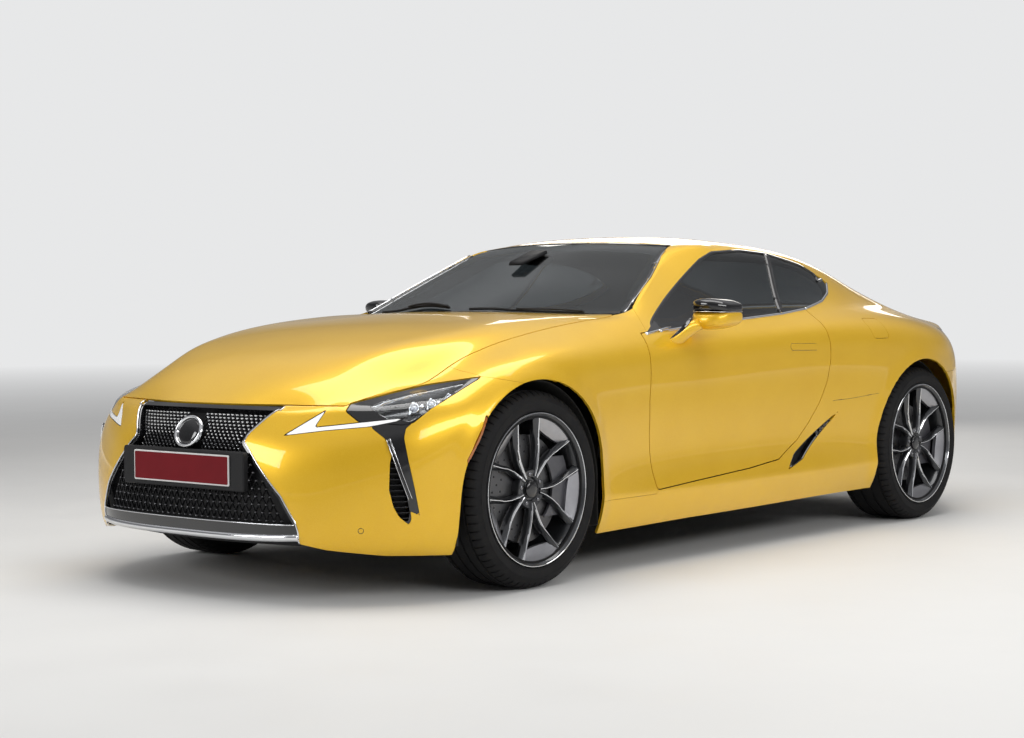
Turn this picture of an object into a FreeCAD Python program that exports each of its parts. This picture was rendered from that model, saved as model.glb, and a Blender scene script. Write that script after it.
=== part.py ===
# A two-door grand touring coupe, built as separate panels, glass, lamps, wheels and
# running gear. Millimetres. +X is forwards, +Y is the car's left, +Z is up.
# The origin is on the ground, midway along and across the car.
#
# Every body panel is cut from one of two hollow forms: the lower body, lofted through
# cross-sections along the car, and the cabin, lofted from the waist up to the roof.
import FreeCAD, Part
import math
import os

from FreeCAD import Vector

os.makedirs("parts", exist_ok=True)

# Overall size and stance
length = 4770.0
wheelbase = 2870.0
front_overhang = 920.0
nose_x = length / 2
tail_x = -length / 2
front_axle_x = nose_x - front_overhang
rear_axle_x = front_axle_x - wheelbase
body_half_width = 960.0

# Panel thicknesses and gaps
skin = 30.0
door_return = 28.0
cabin_side_y = 760.0
roof_depth = 38.0
glass_thickness = 5.0
lid_gap = 5.5
bonnet_swing = 6.5
door_gap = 6.0
glass_gap = 7.0
seat_gap = 0.4
lamp_gap = 0.6
screen_edge_room = 22.5
seam = 0.8
grille_recess = 18.0
plate_recess = 18.0
plate_thickness = 5.0

# Lids: hinge line and the span of the left ear across the car
bonnet_hinge = (698.0, 986.0, 700.0, 714.0)
boot_hinge = (-1848.0, 994.0, 488.0, 500.0)
ear_radius = 8.0
hinge_pin_radius = 4.0
ear_gap = 1.0
cheek_thickness = 6.0
bonnet_ear_reach = 40.0

# Grille: half of its waisted opening seen from the front, and its grid of slots
grille_side = [(387.0, 705.0), (293.0, 575.0), (523.0, 273.0), (528.0, 205.0)]
grille_low = 262.0
grille_rows = 8
grille_pitch = 51.0
grille_slot = 33.0
grille_bar = 16.0
grille_border = 22.0

# Wheels: rim diameter 21 inches, wider tyres behind
rim_radius = 284.0
barrel_radius = 262.0
barrel_wall = 15.0
tyre_radius = {"front": 364.5, "rear": 363.0}
tyre_width = {"front": 245.0, "rear": 275.0}
track_half = {"front": 815.0, "rear": 817.5}
axle_x = {"front": front_axle_x, "rear": rear_axle_x}
hub_radius = 78.0
hub_inner = 50.0
spindle_radius = 20.0
running_clearance = 0.1
spoke_pairs = 5
spoke_depth = 30.0
rim_step = 14.0
disc_radius = {"front": 200.0, "rear": 180.0}
disc_inner, disc_outer = 22.0, 49.6
part_clearance = 6.0

# Wheel arches and their liners
arch_radius = 406.0
liner_thickness = 6.0
liner_bottom = 195.0
liner_wall = {"front": 440.0, "rear": 650.0}
liner_edge = {"front": 905.0, "rear": 915.0}

# Jacking pads under the sills: their stations, place across, size and underside
jack_x = (650.0, -650.0)
jack_y = 830.0
jack_pad = (80.0, 50.0)
jack_z = 148.0

# Steering wheel: its centre, the column's slope, its shaft and the gap behind the hub
column_top = (300.0, 380.0, 820.0)
column_tilt = 24.0
shaft_radius = 12.0
column_gap = 12.0

# Floor, rails and suspension
floor_z = 170.0
floor_thickness = 18.0
boot_floor_z = 440.0
firewall_x = 885.0
bulkhead_x = -1150.0
rail_y, rail_width, rail_z, rail_height = 345.0, 75.0, 300.0, 120.0
ball_joint_height = 150.0
arm_thickness, arm_width = 24.0, 40.0

# Cross-sections of the lower body, front to back. Columns: station along the car, height
# and half-width of the bottom edge, half-width at the sill crease, height and half-width
# of the flank, of the shoulder, of the top edge and of the bonnet ridge, centre height.
sill_crease_z = 300.0
body_sections = [
    # x, bottom_z, bottom_y, crease_y, flank_z, flank_y, shoulder_z, shoulder_y, edge_z, edge_y, ridge_z, ridge_y, centre_z
    (2420, 150, 800, 830, 470, 850, 560, 800, 610, 640, 640, 420, 650),
    (2200, 150, 835, 865, 475, 880, 590, 845, 665, 620, 712, 430, 728),
    (2060, 152, 855, 882, 480, 900, 615, 870, 705, 630, 800, 470, 820),
    (1806, 155, 880, 905, 500, 930, 690, 905, 762, 700, 888, 530, 908),
    (1566, 158, 885, 912, 515, 942, 730, 928, 872, 748, 938, 580, 962),
    (1348, 160, 885, 916, 520, 944, 745, 934, 922, 758, 970, 600, 988),
    (1080, 160, 885, 918, 525, 928, 755, 922, 956, 760, 990, 620, 1010),
    (720, 165, 885, 915, 535, 908, 775, 904, 972, 780, 1008, 640, 1025),
    (300, 170, 888, 918, 545, 900, 795, 898, 976, 795, 1000, 640, 1012),
    (-100, 172, 890, 920, 550, 900, 815, 902, 992, 798, 1010, 640, 1018),
    (-500, 176, 892, 924, 555, 908, 835, 912, 1012, 788, 1025, 620, 1030),
    (-900, 178, 895, 932, 560, 928, 845, 936, 1028, 762, 1040, 600, 1045),
    (-1405, 182, 905, 945, 565, 958, 800, 957, 1004, 730, 1030, 560, 1040),
    (-1850, 190, 885, 925, 550, 945, 765, 932, 950, 700, 992, 500, 1008),
    (-2150, 205, 850, 890, 540, 908, 745, 885, 922, 660, 950, 450, 962),
    (-2420, 225, 820, 850, 530, 870, 730, 840, 890, 640, 920, 450, 930),
]

# Plan outline of nose and tail: centre, then points towards the side
nose_plan = [(nose_x, 0.0), (2344.0, 300.0), (2290.0, 540.0), (2165.0, 735.0), (1990.0, 860.0),
    (1830.0, 925.0)]
tail_plan = [(tail_x, 0.0), (-2372.0, 350.0), (-2322.0, 572.0), (-2225.0, 706.0), (-2050.0, 812.0),
    (-1850.0, 905.0)]

# Cabin: plan outline at the waist and at the roof edge
waist_z = 900.0
roof_edge_z = 1290.0
cabin_waist = {"front": 1168.0, "corner": (858.0, 803.0), "side": (-250.0, 842.0),
    "rear": (-2000.0, 585.0)}
cabin_top = {"front": 200.0, "corner": (94.0, 547.0), "side": (-400.0, 612.0), "rear": (-2000.0, 400.0)}
# The sides run on by this factor above the roof edge, to be trimmed by the roof's dome
cabin_overrun = 1.35
dome_half_width = 900.0
# Roof and rear window. Columns: station, height on the centre line, drop at the roof edge
roof_edge_y = 600.0
roof_sections = [
    # x, centre_z, drop
    (950, 1255, 30),
    (150, 1310, 30),
    (-200, 1345, 44),
    (-600, 1335, 52),
    (-1030, 1280, 64),
    (-1400, 1190, 74),
    (-1700, 1085, 80),
    (-1850, 1004, 80),
    (-2020, 925, 80),
]


def arc(a, b, c):
    return Part.Arc(a, b, c).toShape()


def line(a, b):
    return Part.makeLine(a, b)


def wire(edges):
    return Part.Wire(edges)


def box(x0, x1, y0, y1, z0, z1):
    return Part.makeBox(x1 - x0, y1 - y0, z1 - z0, Vector(x0, y0, z0))


def mirrored(shape):
    return shape.mirror(Vector(0, 0, 0), Vector(0, 1, 0))


def cylinder_y(x, z, radius, y0, y1):
    return Part.makeCylinder(radius, y1 - y0, Vector(x, y0, z), Vector(0, 1, 0))


def prism(points, axis, low, high, grow=0.0):
    """A prism along an axis from a closed outline. A point with a third value starts an
    arc: its two values are the end, and the last two of the tuple are the arc's middle.
    The outline can be grown by a gap, or shrunk by a negative one."""
    def place(p, q):
        if axis == "y":
            return Vector(p, low, q)
        if axis == "z":
            return Vector(p, q, low)
        return Vector(low, p, q)

    edges = []
    here = place(*points[0][:2])
    for point in points[1:] + [points[0]]:
        there = place(*point[:2])
        if len(point) == 4:
            edges.append(arc(here, place(*point[2:]), there))
        elif here.distanceToPoint(there) > 1e-6:
            edges.append(line(here, there))
        here = there
    span = high - low
    along = {"x": Vector(span, 0, 0), "y": Vector(0, span, 0), "z": Vector(0, 0, span)}[axis]
    outline = wire(edges)
    if grow:
        outline = outline.makeOffset2D(grow, 0)
    return Part.Face(outline).extrude(along)


def section_wire(row, inset):
    """One closed cross-section of the lower body, moved inwards by the inset."""
    x, bottom_z, bottom_y, crease_y, flank_z, flank_y = row[:6]
    shoulder_z, shoulder_y, edge_z, edge_y, ridge_z, ridge_y, centre_z = row[6:]
    side = [
        (bottom_y - inset, bottom_z + inset),
        (crease_y - inset, sill_crease_z),
        (flank_y - inset, flank_z),
        (shoulder_y - inset, shoulder_z - inset * 0.15),
        (edge_y - inset * 0.6, edge_z - inset),
        (ridge_y - inset * 0.2, ridge_z - inset),
    ]
    left = [Vector(x, y, z) for y, z in side]
    right = [Vector(x, -y, z) for y, z in side]
    crown = Vector(x, 0, centre_z - inset)
    return wire([
        line(right[0], left[0]),
        arc(left[0], left[1], left[2]),
        arc(left[2], left[3], left[4]),
        line(left[4], left[5]),
        arc(left[5], crown, right[5]),
        line(right[5], right[4]),
        arc(right[4], right[3], right[2]),
        arc(right[2], right[1], right[0]),
    ])


def plan_prism(inset, low, high):
    """Rounds nose and tail seen from above."""
    def shifted(points, sign):
        moved = []
        for x, y in points:
            moved.append((x - sign * inset, y))
        return moved

    nose = shifted(nose_plan, 1)
    tail = shifted(tail_plan, -1)
    wide = body_half_width + 60
    outline = [(nose[1][0], -nose[1][1], nose[2][0], -nose[2][1])]
    outline.append((nose[1][0], nose[1][1], nose[0][0], 0.0))
    outline.append((nose[3][0], nose[3][1], nose[2][0], nose[2][1]))
    outline.append((nose[5][0], nose[5][1], nose[4][0], nose[4][1]))
    outline.append((nose[5][0] - 120, wide))
    outline.append((tail[5][0] + 120, wide))
    outline.append((tail[5][0], tail[5][1]))
    outline.append((tail[3][0], tail[3][1], tail[4][0], tail[4][1]))
    outline.append((tail[1][0], tail[1][1], tail[2][0], tail[2][1]))
    outline.append((tail[1][0], -tail[1][1], tail[0][0], 0.0))
    outline.append((tail[3][0], -tail[3][1], tail[2][0], -tail[2][1]))
    outline.append((tail[5][0], -tail[5][1], tail[4][0], -tail[4][1]))
    outline.append((tail[5][0] + 120, -wide))
    outline.append((nose[5][0] - 120, -wide))
    outline.append((nose[5][0], -nose[5][1]))
    outline.append((nose[3][0], -nose[3][1], nose[4][0], -nose[4][1]))
    return prism(outline, "z", low, high)


def profile_prism(inset):
    """Rounds nose and tail seen from the side."""
    outline = [
        (2300 - inset, 100),
        (2376 - inset, 215),
        (2345 - inset, 575, nose_x - inset, 400),
        (2262 - inset, 694, 2318 - inset, 645),
        (2180 - inset, 1500),
        (-2290 + inset, 1500),
        (-2312 + inset, 975),
        (-2360 + inset, 840),
        (-2350 + inset, 430, tail_x + inset, 640),
        (-2250 + inset, 100),
    ]
    return prism(outline, "y", -1100, 1100)


def body_form(inset):
    """The lower body as one closed form, inset all round."""
    loft = Part.makeLoft([section_wire(row, inset) for row in body_sections], True, False)
    return loft.common(profile_prism(inset)).common(plan_prism(inset, 50, 1400))


def cabin_ring(ring, z, inset):
    """Plan outline of the cabin at one height."""
    front = ring["front"] - inset
    cx, cy = ring["corner"][0] - inset, ring["corner"][1] - inset
    sx, sy = ring["side"][0], ring["side"][1] - inset
    rx, ry = ring["rear"][0] + inset, ring["rear"][1] - inset
    return wire([
        arc(Vector(cx, -cy, z), Vector(front, 0, z), Vector(cx, cy, z)),
        arc(Vector(cx, cy, z), Vector(sx, sy, z), Vector(rx, ry, z)),
        line(Vector(rx, ry, z), Vector(rx, -ry, z)),
        arc(Vector(rx, -ry, z), Vector(sx, -sy, z), Vector(cx, -cy, z)),
    ])


def cabin_form(inset):
    """The cabin above the waist as one closed form, inset at sides and roof."""
    rise = (roof_edge_z - waist_z) * cabin_overrun

    def stretched(name):
        low, high = cabin_waist[name], cabin_top[name]
        if isinstance(low, tuple):
            return tuple(a + (b - a) * cabin_overrun for a, b in zip(low, high))
        return low + (high - low) * cabin_overrun

    upper = {name: stretched(name) for name in cabin_waist}
    sides = Part.makeLoft([cabin_ring(cabin_waist, waist_z, inset),
        cabin_ring(upper, waist_z + rise, inset)], True, True)
    wires = []
    for x, centre_z, drop in roof_sections:
        # the arc goes on past the roof edge by the same curve
        wide = dome_half_width
        fall = drop * (wide / roof_edge_y) ** 2
        a = Vector(x, -wide, centre_z - fall - inset)
        b = Vector(x, 0, centre_z - inset)
        c = Vector(x, wide, centre_z - fall - inset)
        base_a = Vector(x, -wide, 400)
        base_c = Vector(x, wide, 400)
        wires.append(wire([arc(a, b, c), line(c, base_c), line(base_c, base_a), line(base_a, a)]))
    dome = Part.makeLoft(wires, True, False)
    return sides.common(dome)


def solids_of(shape, smallest=2000.0):
    return [s for s in shape.Solids if s.Volume > smallest]


def save(name, shape, smallest=2000.0):
    solids = solids_of(shape, smallest)
    if not solids:
        raise RuntimeError(name + " came out empty")
    whole = solids[0] if len(solids) == 1 else Part.makeCompound(solids)
    whole.exportStep("parts/" + name + ".step")
    print(name, len(solids), "solids", round(sum(s.Volume for s in solids) / 1e6, 2), "dm3")


# The hollow forms that the panels are cut from
body_outer = body_form(0.0)
body_inner = body_form(skin)
body_skin = body_outer.cut(body_inner)
body_grown = body_form(-seat_gap)
cabin_outer = cabin_form(0.0)
cabin_wall = cabin_outer.cut(cabin_form(roof_depth)).cut(body_grown)
cabin_glass = cabin_outer.cut(cabin_form(glass_thickness)).cut(body_grown)


def cut_all(shape, tools):
    for tool in tools:
        shape = shape.cut(tool)
    return shape


def fuse_all(shapes):
    return shapes[0].multiFuse(shapes[1:]).removeSplitter() if len(shapes) > 1 else shapes[0]


def arch_prism(axle, radius, low, high, bottom=100.0):
    """A wheel arch: round above the hub's height, straight below."""
    x, z = axle_x[axle], tyre_radius[axle]
    return prism([(x + radius, bottom), (x + radius, z), (x - radius, z, x, z + radius),
        (x - radius, bottom)], "y", low, high)


def door_outline(gap, low, high):
    """The door's shut line seen from the side, grown by a gap."""
    return prism([
        (720, 925), (698, 300, 742, 640), (-205, 366, 300, 318), (-542, 600, -392, 446), (-606, 1000,
            -636, 800),
        (-606, 1060), (596, 1060), (606, 931),
    ], "y", low, high, gap)


def bonnet_outline(gap, ahead=0.0, behind=0.0):
    """The bonnet's shut line seen from above, with its front or rear edge moved out."""
    hinge_x = bonnet_hinge[0] + 2
    return prism([
        (2206 + ahead, -387), (2206 + ahead, 387, 2268 + ahead, 0), (2130 + ahead, 600), (1806, 690),
        (842, 742, 1348, 755), (hinge_x, 735), (hinge_x, -735, 925 - behind, 0), (842, -742),
        (1806, -690, 1348, -755), (2130 + ahead, -600),
    ], "z", 600 - gap, 1300, gap)


def bonnet_slot():
    """What the bonnet needs free around it: its nose swings forwards as it lifts, and its
    rear edge swings back a little before it clears the cowl."""
    return bonnet_outline(lid_gap, bonnet_swing, lid_gap)


def boot_outline(gap):
    front = boot_hinge[0] - 2
    return prism([
        (front, -500), (front, 500), (-2100, 610), (-2500, 610), (-2500, -610), (-2100, -610),
    ], "z", 760 - gap, 1300, gap)


def grille_outline(gap, low, high):
    """The waisted grille opening seen from the front."""
    return prism(grille_side + [(-y, z) for y, z in reversed(grille_side)], "x", low, high, gap)


def grille_openings():
    """A plain grid of slots, left whole behind the plate."""
    slots = []
    for row in range(grille_rows):
        low = grille_low + row * grille_pitch
        high = low + grille_slot
        half = min(grille_half(low), grille_half(high)) - grille_border
        edges = [-half, -half / 2, 0, half / 2, half]
        for left, right in zip(edges, edges[1:]):
            behind_plate = low < 530 and high > 395 and abs(left + right) / 2 < half / 2
            if not behind_plate:
                slots.append(box(2000, 2600, left + grille_bar / 2, right - grille_bar / 2, low, high))
    return slots


def grille_half(z):
    """Half-width of the grille opening at a height."""
    for (y0, z0), (y1, z1) in zip(grille_side, grille_side[1:]):
        if z0 >= z >= z1:
            return y0 + (y1 - y0) * (z - z0) / (z1 - z0)
    return grille_side[-1][0]


def lamp_outline(gap):
    """Headlamp seen from the side."""
    return prism([
        (1705, 782), (1912, 728, 1800, 757), (2085, 700), (2120, 668), (2085, 640), (1960,
            622), (1905, 680),
    ], "y", 560 - gap, 1100, gap)


def tail_lamp_outline(gap):
    return prism([
        (-1872, 914), (-2500, 872), (-2500, 772), (-2190, 778), (-2060, 862),
    ], "y", 630 - gap, 1100, gap)


def door_window_outline(gap):
    """The frameless door glass seen from the side."""
    return prism([
        (680, 860), (680, 915), (136, 1178), (-341, 1273, -91, 1256), (-520, 1263), (-372,
            985), (-372, 860),
    ], "y", 400, 1000, gap)


def quarter_window_outline(gap):
    return prism([
        (-396, 960), (-545, 1262), (-813, 1213), (-938, 1139), (-758, 1040), (-579, 1000),
    ], "y", 400, 1000, gap)


def windscreen_region(gap):
    """Ahead of the roof's front edge and above the line of the pillars."""
    pillars = prism([(96, 1289), (96, 1500), (1400, 1500), (1400, 624)], "y", -1000, 1000, gap)
    top_edge = prism([
        (98, -547), (98, 547, 152, 0), (98, 1000), (1400, 1000), (1400, -1000), (98, -1000),
    ], "z", 500, 1500, gap)
    return pillars.common(top_edge)


def rear_screen_region(gap):
    front = boot_hinge[0] - 2 + lid_gap + 1
    return prism([
        (-1000, -470), (-1000, 470, -955, 0), (front, 430), (front, -430),
    ], "z", 500, 1500, gap)


def both_sides(name, shape, smallest=2000.0):
    save(name + "_left", shape, smallest)
    save(name + "_right", mirrored(shape), smallest)


def save_pair(name, shape, smallest=2000.0):
    """Left and right pieces that share a node."""
    save(name, Part.makeCompound(solids_of(shape, smallest) + solids_of(mirrored(shape), smallest)),
        smallest)


front_arches = [arch_prism("front", arch_radius, 430, 1100),
    arch_prism("front", arch_radius, -1100, -430)]
rear_arches = [arch_prism("rear", arch_radius, 640, 1100), arch_prism("rear", arch_radius, -1100, -640)]
underside = prism([
    (-2150, -620), (-2150, 620), (-1850, 760), (1850, 760), (2080, 640), (2150, 420), (2150,
        -420), (2080, -640), (1850, -760), (-1850, -760),
], "z", 100, 235)
fender_region = prism([
    (727, 285), (727, 1100), (1750, 1100), (1745, 765), (1480, 760), (1480, 285),
], "y", 500, 1100)
front_bumper_region = prism([
    (1480 + seam, 100), (1480 + seam, 760 - seam), (1745 + seam, 765 - seam), (1750 + seam,
        1100), (2600, 1100), (2600, 100),
], "y", -1100, 1100)
rear_bumper_line = [(-1480, 100), (-1480, 700), (-1810, 700), (-2120, 758), (-2600, 758), (-2600, 100)]
rear_bumper_region = prism(rear_bumper_line, "y", -1100, 1100)
above_rear_bumper = prism([
    (-1480 + seam, 100), (-1480 + seam, 700 + seam), (-1810, 700 + seam), (-2120, 758 + seam), (-2600,
        758 + seam),
    (-2600, 1200), (1100, 1200), (1100, 100),
], "y", -1100, 1100)


def make_lids():
    for name, outline, hinge, reach in (("bonnet", bonnet_outline(0), bonnet_hinge, bonnet_ear_reach),
        ("boot_lid", boot_outline(0), boot_hinge, -40)):
        lid = body_skin.common(outline)
        x, z, low, high = hinge
        ears = [hinge_ear(x, z, y0, y1, ear_radius, reach) for y0, y1 in ((low, high), (-high, -low))]
        bores = [cylinder_y(x, z, hinge_pin_radius + running_clearance, y0 - 20, y1 + 20) for y0,
            y1 in ((low, high), (-high, -low))]
        rooms = cheek_space(hinge)
        save(name,
            cut_all(lid,
            rooms + [mirrored(room) for room in rooms]).multiFuse(ears).cut(Part.makeCompound(bores)))


def make_front():
    slot = bonnet_slot()
    shell = body_skin.common(front_bumper_region).cut(slot).cut(grille_outline(0, 1900, 2600))
    lamps = lamp_outline(seat_gap)
    shell = cut_all(shell.common(box(1400, 2600, 0, 1200, 0, 1300)),
        [lamps, underside] + front_arches[:1])
    save("front_bumper", fuse_all([shell, mirrored(shell)]))
    grille = body_skin.common(grille_outline(-seat_gap, 2000, 2600))
    grille = grille.cut(Part.makeCompound(grille_openings()))
    grille.translate(Vector(-grille_recess, 0, 0))
    save("grille", cut_all(grille, [slot, underside]))
    fender = cut_all(body_skin.common(fender_region), [slot, lamps])
    fender = fender.cut(box(720, 1000, 400, cabin_side_y, 800, 1200)).cut(door_outline(door_gap, 700,
        1100))
    fender = fender.cut(box(720, 746 + seat_gap, 750, 778 + seat_gap, 855, 945 + seat_gap))
    save_pair("fenders", cut_all(fender, front_arches))
    save_pair("headlamps", body_skin.common(lamp_outline(0)).cut(slot))


def make_side_frame():
    """Sill, door posts and rear quarter in one, each side."""
    plan = prism([
        (1059, cabin_side_y), (1059, 1000), (-2400, 1000), (-2400, 480), (-700, 480), (-700,
            cabin_side_y),
    ], "z", 100, 1200)
    hollow = body_inner.common(prism([
        (-700, 400), (-700, cabin_side_y), (-1750, cabin_side_y), (-1750, 1000), (-2500,
            1000), (-2500, 400),
    ], "z", 100, 1200))
    side = body_outer.common(plan).cut(hollow).common(above_rear_bumper)
    side = side.cut(box(727 - seam, 1100, 400, 1100, 285 - seam, 1200))
    side = side.cut(box(-2400, -700, 400, cabin_side_y, 100, 800))
    posts = [
        box(734, 1050, cabin_side_y + 1, 784, 240, 860),
        box(690, 746, cabin_side_y + 1, 778, 240, 945),
        box(734, 1050, cabin_side_y + 1, 846, 240, 770),
    ]
    for x in jack_x:
        posts.append(box(x - jack_pad[0] / 2, x + jack_pad[0] / 2, jack_y - jack_pad[1] / 2,
            jack_y + jack_pad[1] / 2, jack_z, 200))
    side = fuse_all([side] + posts)
    tools = [door_outline(door_gap, 700, 1100), boot_outline(lid_gap)] + rear_arches[:1]
    side = cut_all(side, tools + [ear_space(boot_hinge)])
    # the pocket that the tail lamp sits in
    side = side.cut(tail_lamp_outline(lamp_gap))
    save_pair("body_sides", fuse_all([side] + hinge_clevis(boot_hinge, 30)))


def make_doors():
    slab = body_outer.common(door_outline(0, cabin_side_y, 1100))
    inner_edge = prism([
        (630, 1100), (630, 300 + door_return), (-190, 366 + door_return, 300, 318 + door_return),
        (-507, 615, -364, 468), (-606 + door_return, 1000, -606, 800), (-606 + door_return, 1100),
    ], "y", 600, 1100)
    rim = body_inner.common(door_outline(20, 600, 1100)).cut(inner_edge)
    both_sides("door", slab.cut(rim))
    glass = cabin_glass.common(door_window_outline(0)).common(box(-3000, 3000, 0, 1100, 0, 2000))
    both_sides("door_glass", glass)


def make_mirrors():
    """Housing and arm, on the door's skin below the window."""
    seen_above = prism([(312, 862), (250, 1000), (240, 1034), (408, 985, 345, 1028), (418, 905),
        (392, 862)], "z", 900, 1100)
    seen_behind = prism([(862, 960), (862, 1052), (1000, 1060, 930, 1069), (1034, 1042), (1028, 968),
        (930, 938)], "x", 200, 500)
    arm = prism([(780, 925), (862, 985), (930, 985), (930, 950), (860, 905), (780, 860)], "x", 392, 480)
    both_sides("mirror", fuse_all([seen_above.common(seen_behind), arm]).cut(body_grown))


def hinge_ear(x, z, y0, y1, radius, reach, grow=0.0):
    """A round ear about a hinge line, reaching along X to the lid that it carries."""
    ear = cylinder_y(x, z, radius + grow, y0 - grow, y1 + grow)
    return ear.fuse(box(min(x, x + reach) - grow, max(x, x + reach) + grow, y0 - grow, y1 + grow,
        z - radius - grow, z))


def make_cabin():
    windscreen = windscreen_region(0)
    rear_screen = rear_screen_region(0)
    boot = boot_outline(lid_gap)
    bonnet_space = [bonnet_slot()]
    lid_edge = cylinder_y(boot_hinge[0], boot_hinge[1], screen_edge_room, -700, 700)
    save("rear_screen", cabin_glass.common(rear_screen_region(-seat_gap)).cut(lid_edge))
    hinge_room = []
    for hinge in (bonnet_hinge, boot_hinge):
        x, z, low, high = hinge
        hinge_room.append(box(x - 45, x + 20, low - 12, high + 12, z - 20, z + 20))
    glass_room = [hinge_room[0], mirrored(hinge_room[0])]
    save("windscreen", cut_all(cabin_glass.common(windscreen_region(-seat_gap)),
        bonnet_space + glass_room))
    shell = cut_all(cabin_wall, [windscreen, rear_screen, boot] + bonnet_space)
    roof_plan = prism([
        (260, -530), (260, 530), (-1060, 500), (-1060, -500),
    ], "z", 1000, 1500)
    roof_slot = prism([
        (260, -530 - seam), (260, 530 + seam), (-1060 - seam, 500 + seam), (-1060 - seam, -500 - seam),
    ], "z", 1000, 1500)
    save("roof_panel", shell.common(roof_plan))
    rail = shell.cut(roof_slot).common(box(-3000, 3000, 0.4, 1100, 0, 2000))
    rail = cut_all(rail, [door_window_outline(glass_gap),
        quarter_window_outline(seat_gap)] + hinge_room)
    save_pair("roof_rails", rail, 200000.0)
    save_pair("quarter_glass", cabin_glass.common(quarter_window_outline(0)).common(box(-3000, 3000,
        0, 1100, 0, 2000)))


def make_rear():
    shell = body_skin.common(rear_bumper_region)
    pipes = [box(-2600, -2250, low, low + 150, 250, 330) for low in (440, -590)]
    recess = box(-2600, tail_x + plate_recess, -275, 275, 545, 690)
    save("rear_bumper", cut_all(shell, [boot_outline(lid_gap), underside,
        recess] + rear_arches + pipes))
    lamp = body_skin.common(tail_lamp_outline(0)).common(above_rear_bumper).cut(boot_outline(lid_gap))
    save_pair("tail_lamps", lamp)


def hinge_clevis(hinge, reach):
    """What holds a lid's left ear: a cheek on each side and the pin through it."""
    x, z, low, high = hinge
    cheeks = [hinge_ear(x, z, y0, y1, ear_radius, reach) for y0, y1 in (
        (low - ear_gap - cheek_thickness, low - ear_gap), (high + ear_gap,
            high + ear_gap + cheek_thickness),
    )]
    return cheeks + [cylinder_y(x, z, hinge_pin_radius, low - 6, high + 6)]


def cheek_space(hinge):
    """Room in a lid for the left cheeks that it turns between."""
    x, z, low, high = hinge
    wide = ear_gap + cheek_thickness + lid_gap
    return [cylinder_y(x, z, ear_radius + lid_gap, y0, y1) for y0,
        y1 in ((low - wide, low), (high, high + wide))]


def ear_space(hinge, reach=0.0):
    """Room for a lid's left ear as it turns, with the arm by which it meets the lid."""
    x, z, low, high = hinge
    space = cylinder_y(x, z, ear_radius + lid_gap, low - ear_gap, high + ear_gap)
    if reach:
        space = space.fuse(box(x, x + reach, low - ear_gap, high + ear_gap, z - ear_radius - lid_gap,
            z + 60))
    return space


def make_cowl():
    """The panel below the windscreen, behind the bonnet."""
    tray = body_skin.common(box(600, 1000, -cabin_side_y + 1, cabin_side_y - 1, 850, 1100))
    tray = cut_all(tray, [bonnet_slot(), box(600, 727, 729, 800, 850, 1100),
        box(600, 727, -800, -729, 850, 1100)])
    space = ear_space(bonnet_hinge, bonnet_ear_reach)
    tray = cut_all(tray, [space, mirrored(space)])
    clevis = hinge_clevis(bonnet_hinge, -30)
    save("cowl", fuse_all([tray] + clevis + [mirrored(piece) for piece in clevis]), 200000)


def make_liners():
    liners = []
    for axle in ("front", "rear"):
        wall, edge = liner_wall[axle], liner_edge[axle]
        outer = arch_prism(axle, arch_radius - seat_gap, wall, edge, liner_bottom)
        inner = arch_prism(axle, arch_radius - seat_gap - liner_thickness, wall + liner_thickness,
            edge + 10, liner_bottom - 10)
        liner = outer.cut(inner)
        x, z = axle_x[axle], tyre_radius[axle]
        opening = 118
        liners.append(liner.cut(box(x - opening, x + opening, wall - 5, wall + 20, 150,
            z + ball_joint_height + 60)))
    save("wheel_liners", Part.makeCompound(liners + [mirrored(l) for l in liners]))


def make_floor():
    half = cabin_side_y - seat_gap
    rear_half = liner_wall["rear"] - seat_gap
    tunnel = box(bulkhead_x, firewall_x, -130, 130, floor_z,
        330).cut(box(bulkhead_x - 5, firewall_x + 20, -112, 112, floor_z - 5, 312))
    floor = fuse_all([
        box(bulkhead_x, 1045, -half, half, floor_z, floor_z + floor_thickness),
        box(firewall_x, firewall_x + floor_thickness, -half, half, floor_z, 930),
        box(bulkhead_x - floor_thickness, bulkhead_x, -rear_half, rear_half, floor_z, 930),
        box(-2200, bulkhead_x, -rear_half, rear_half, boot_floor_z, boot_floor_z + floor_thickness),
        box(-2200, -2200 + floor_thickness, -560, 560, boot_floor_z, 640),
    ])
    floor = cut_all(floor, rear_arches)
    floor = floor.cut(box(bulkhead_x - 60, firewall_x - 0.1, -129, 129, floor_z - 5,
        floor_z + floor_thickness + 5))
    save("floor_pan", fuse_all([floor, tunnel]))


def make_front_structure():
    """Rails, cross member, towers and bumper beam that carry engine and suspension."""
    z_low = tyre_radius["front"] - ball_joint_height
    rail_start = firewall_x + floor_thickness + seat_gap
    pieces = [box(front_axle_x - 90, front_axle_x + 90, -rail_y - 80, rail_y + 80, z_low - 45,
        z_low + 25)]
    pieces.append(box(2090, 2170, -560, 560, 400, 520))
    for side in (1, -1):
        low, high = sorted((side * rail_y, side * (rail_y + rail_width)))
        pieces.append(box(rail_start, 2100, low, high, rail_z, rail_z + rail_height))
        low, high = sorted((side * (rail_y + 10), side * (liner_wall["front"] - 8)))
        pieces.append(box(front_axle_x - 75, front_axle_x + 75, low, high, z_low - 40,
            z_low + 2 * ball_joint_height + 70))
    save("front_subframe", fuse_all(pieces))
    save("engine", box(firewall_x + 80, 1640, -rail_y + 10, rail_y - 10, z_low + 25 + seat_gap, 830))


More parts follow.
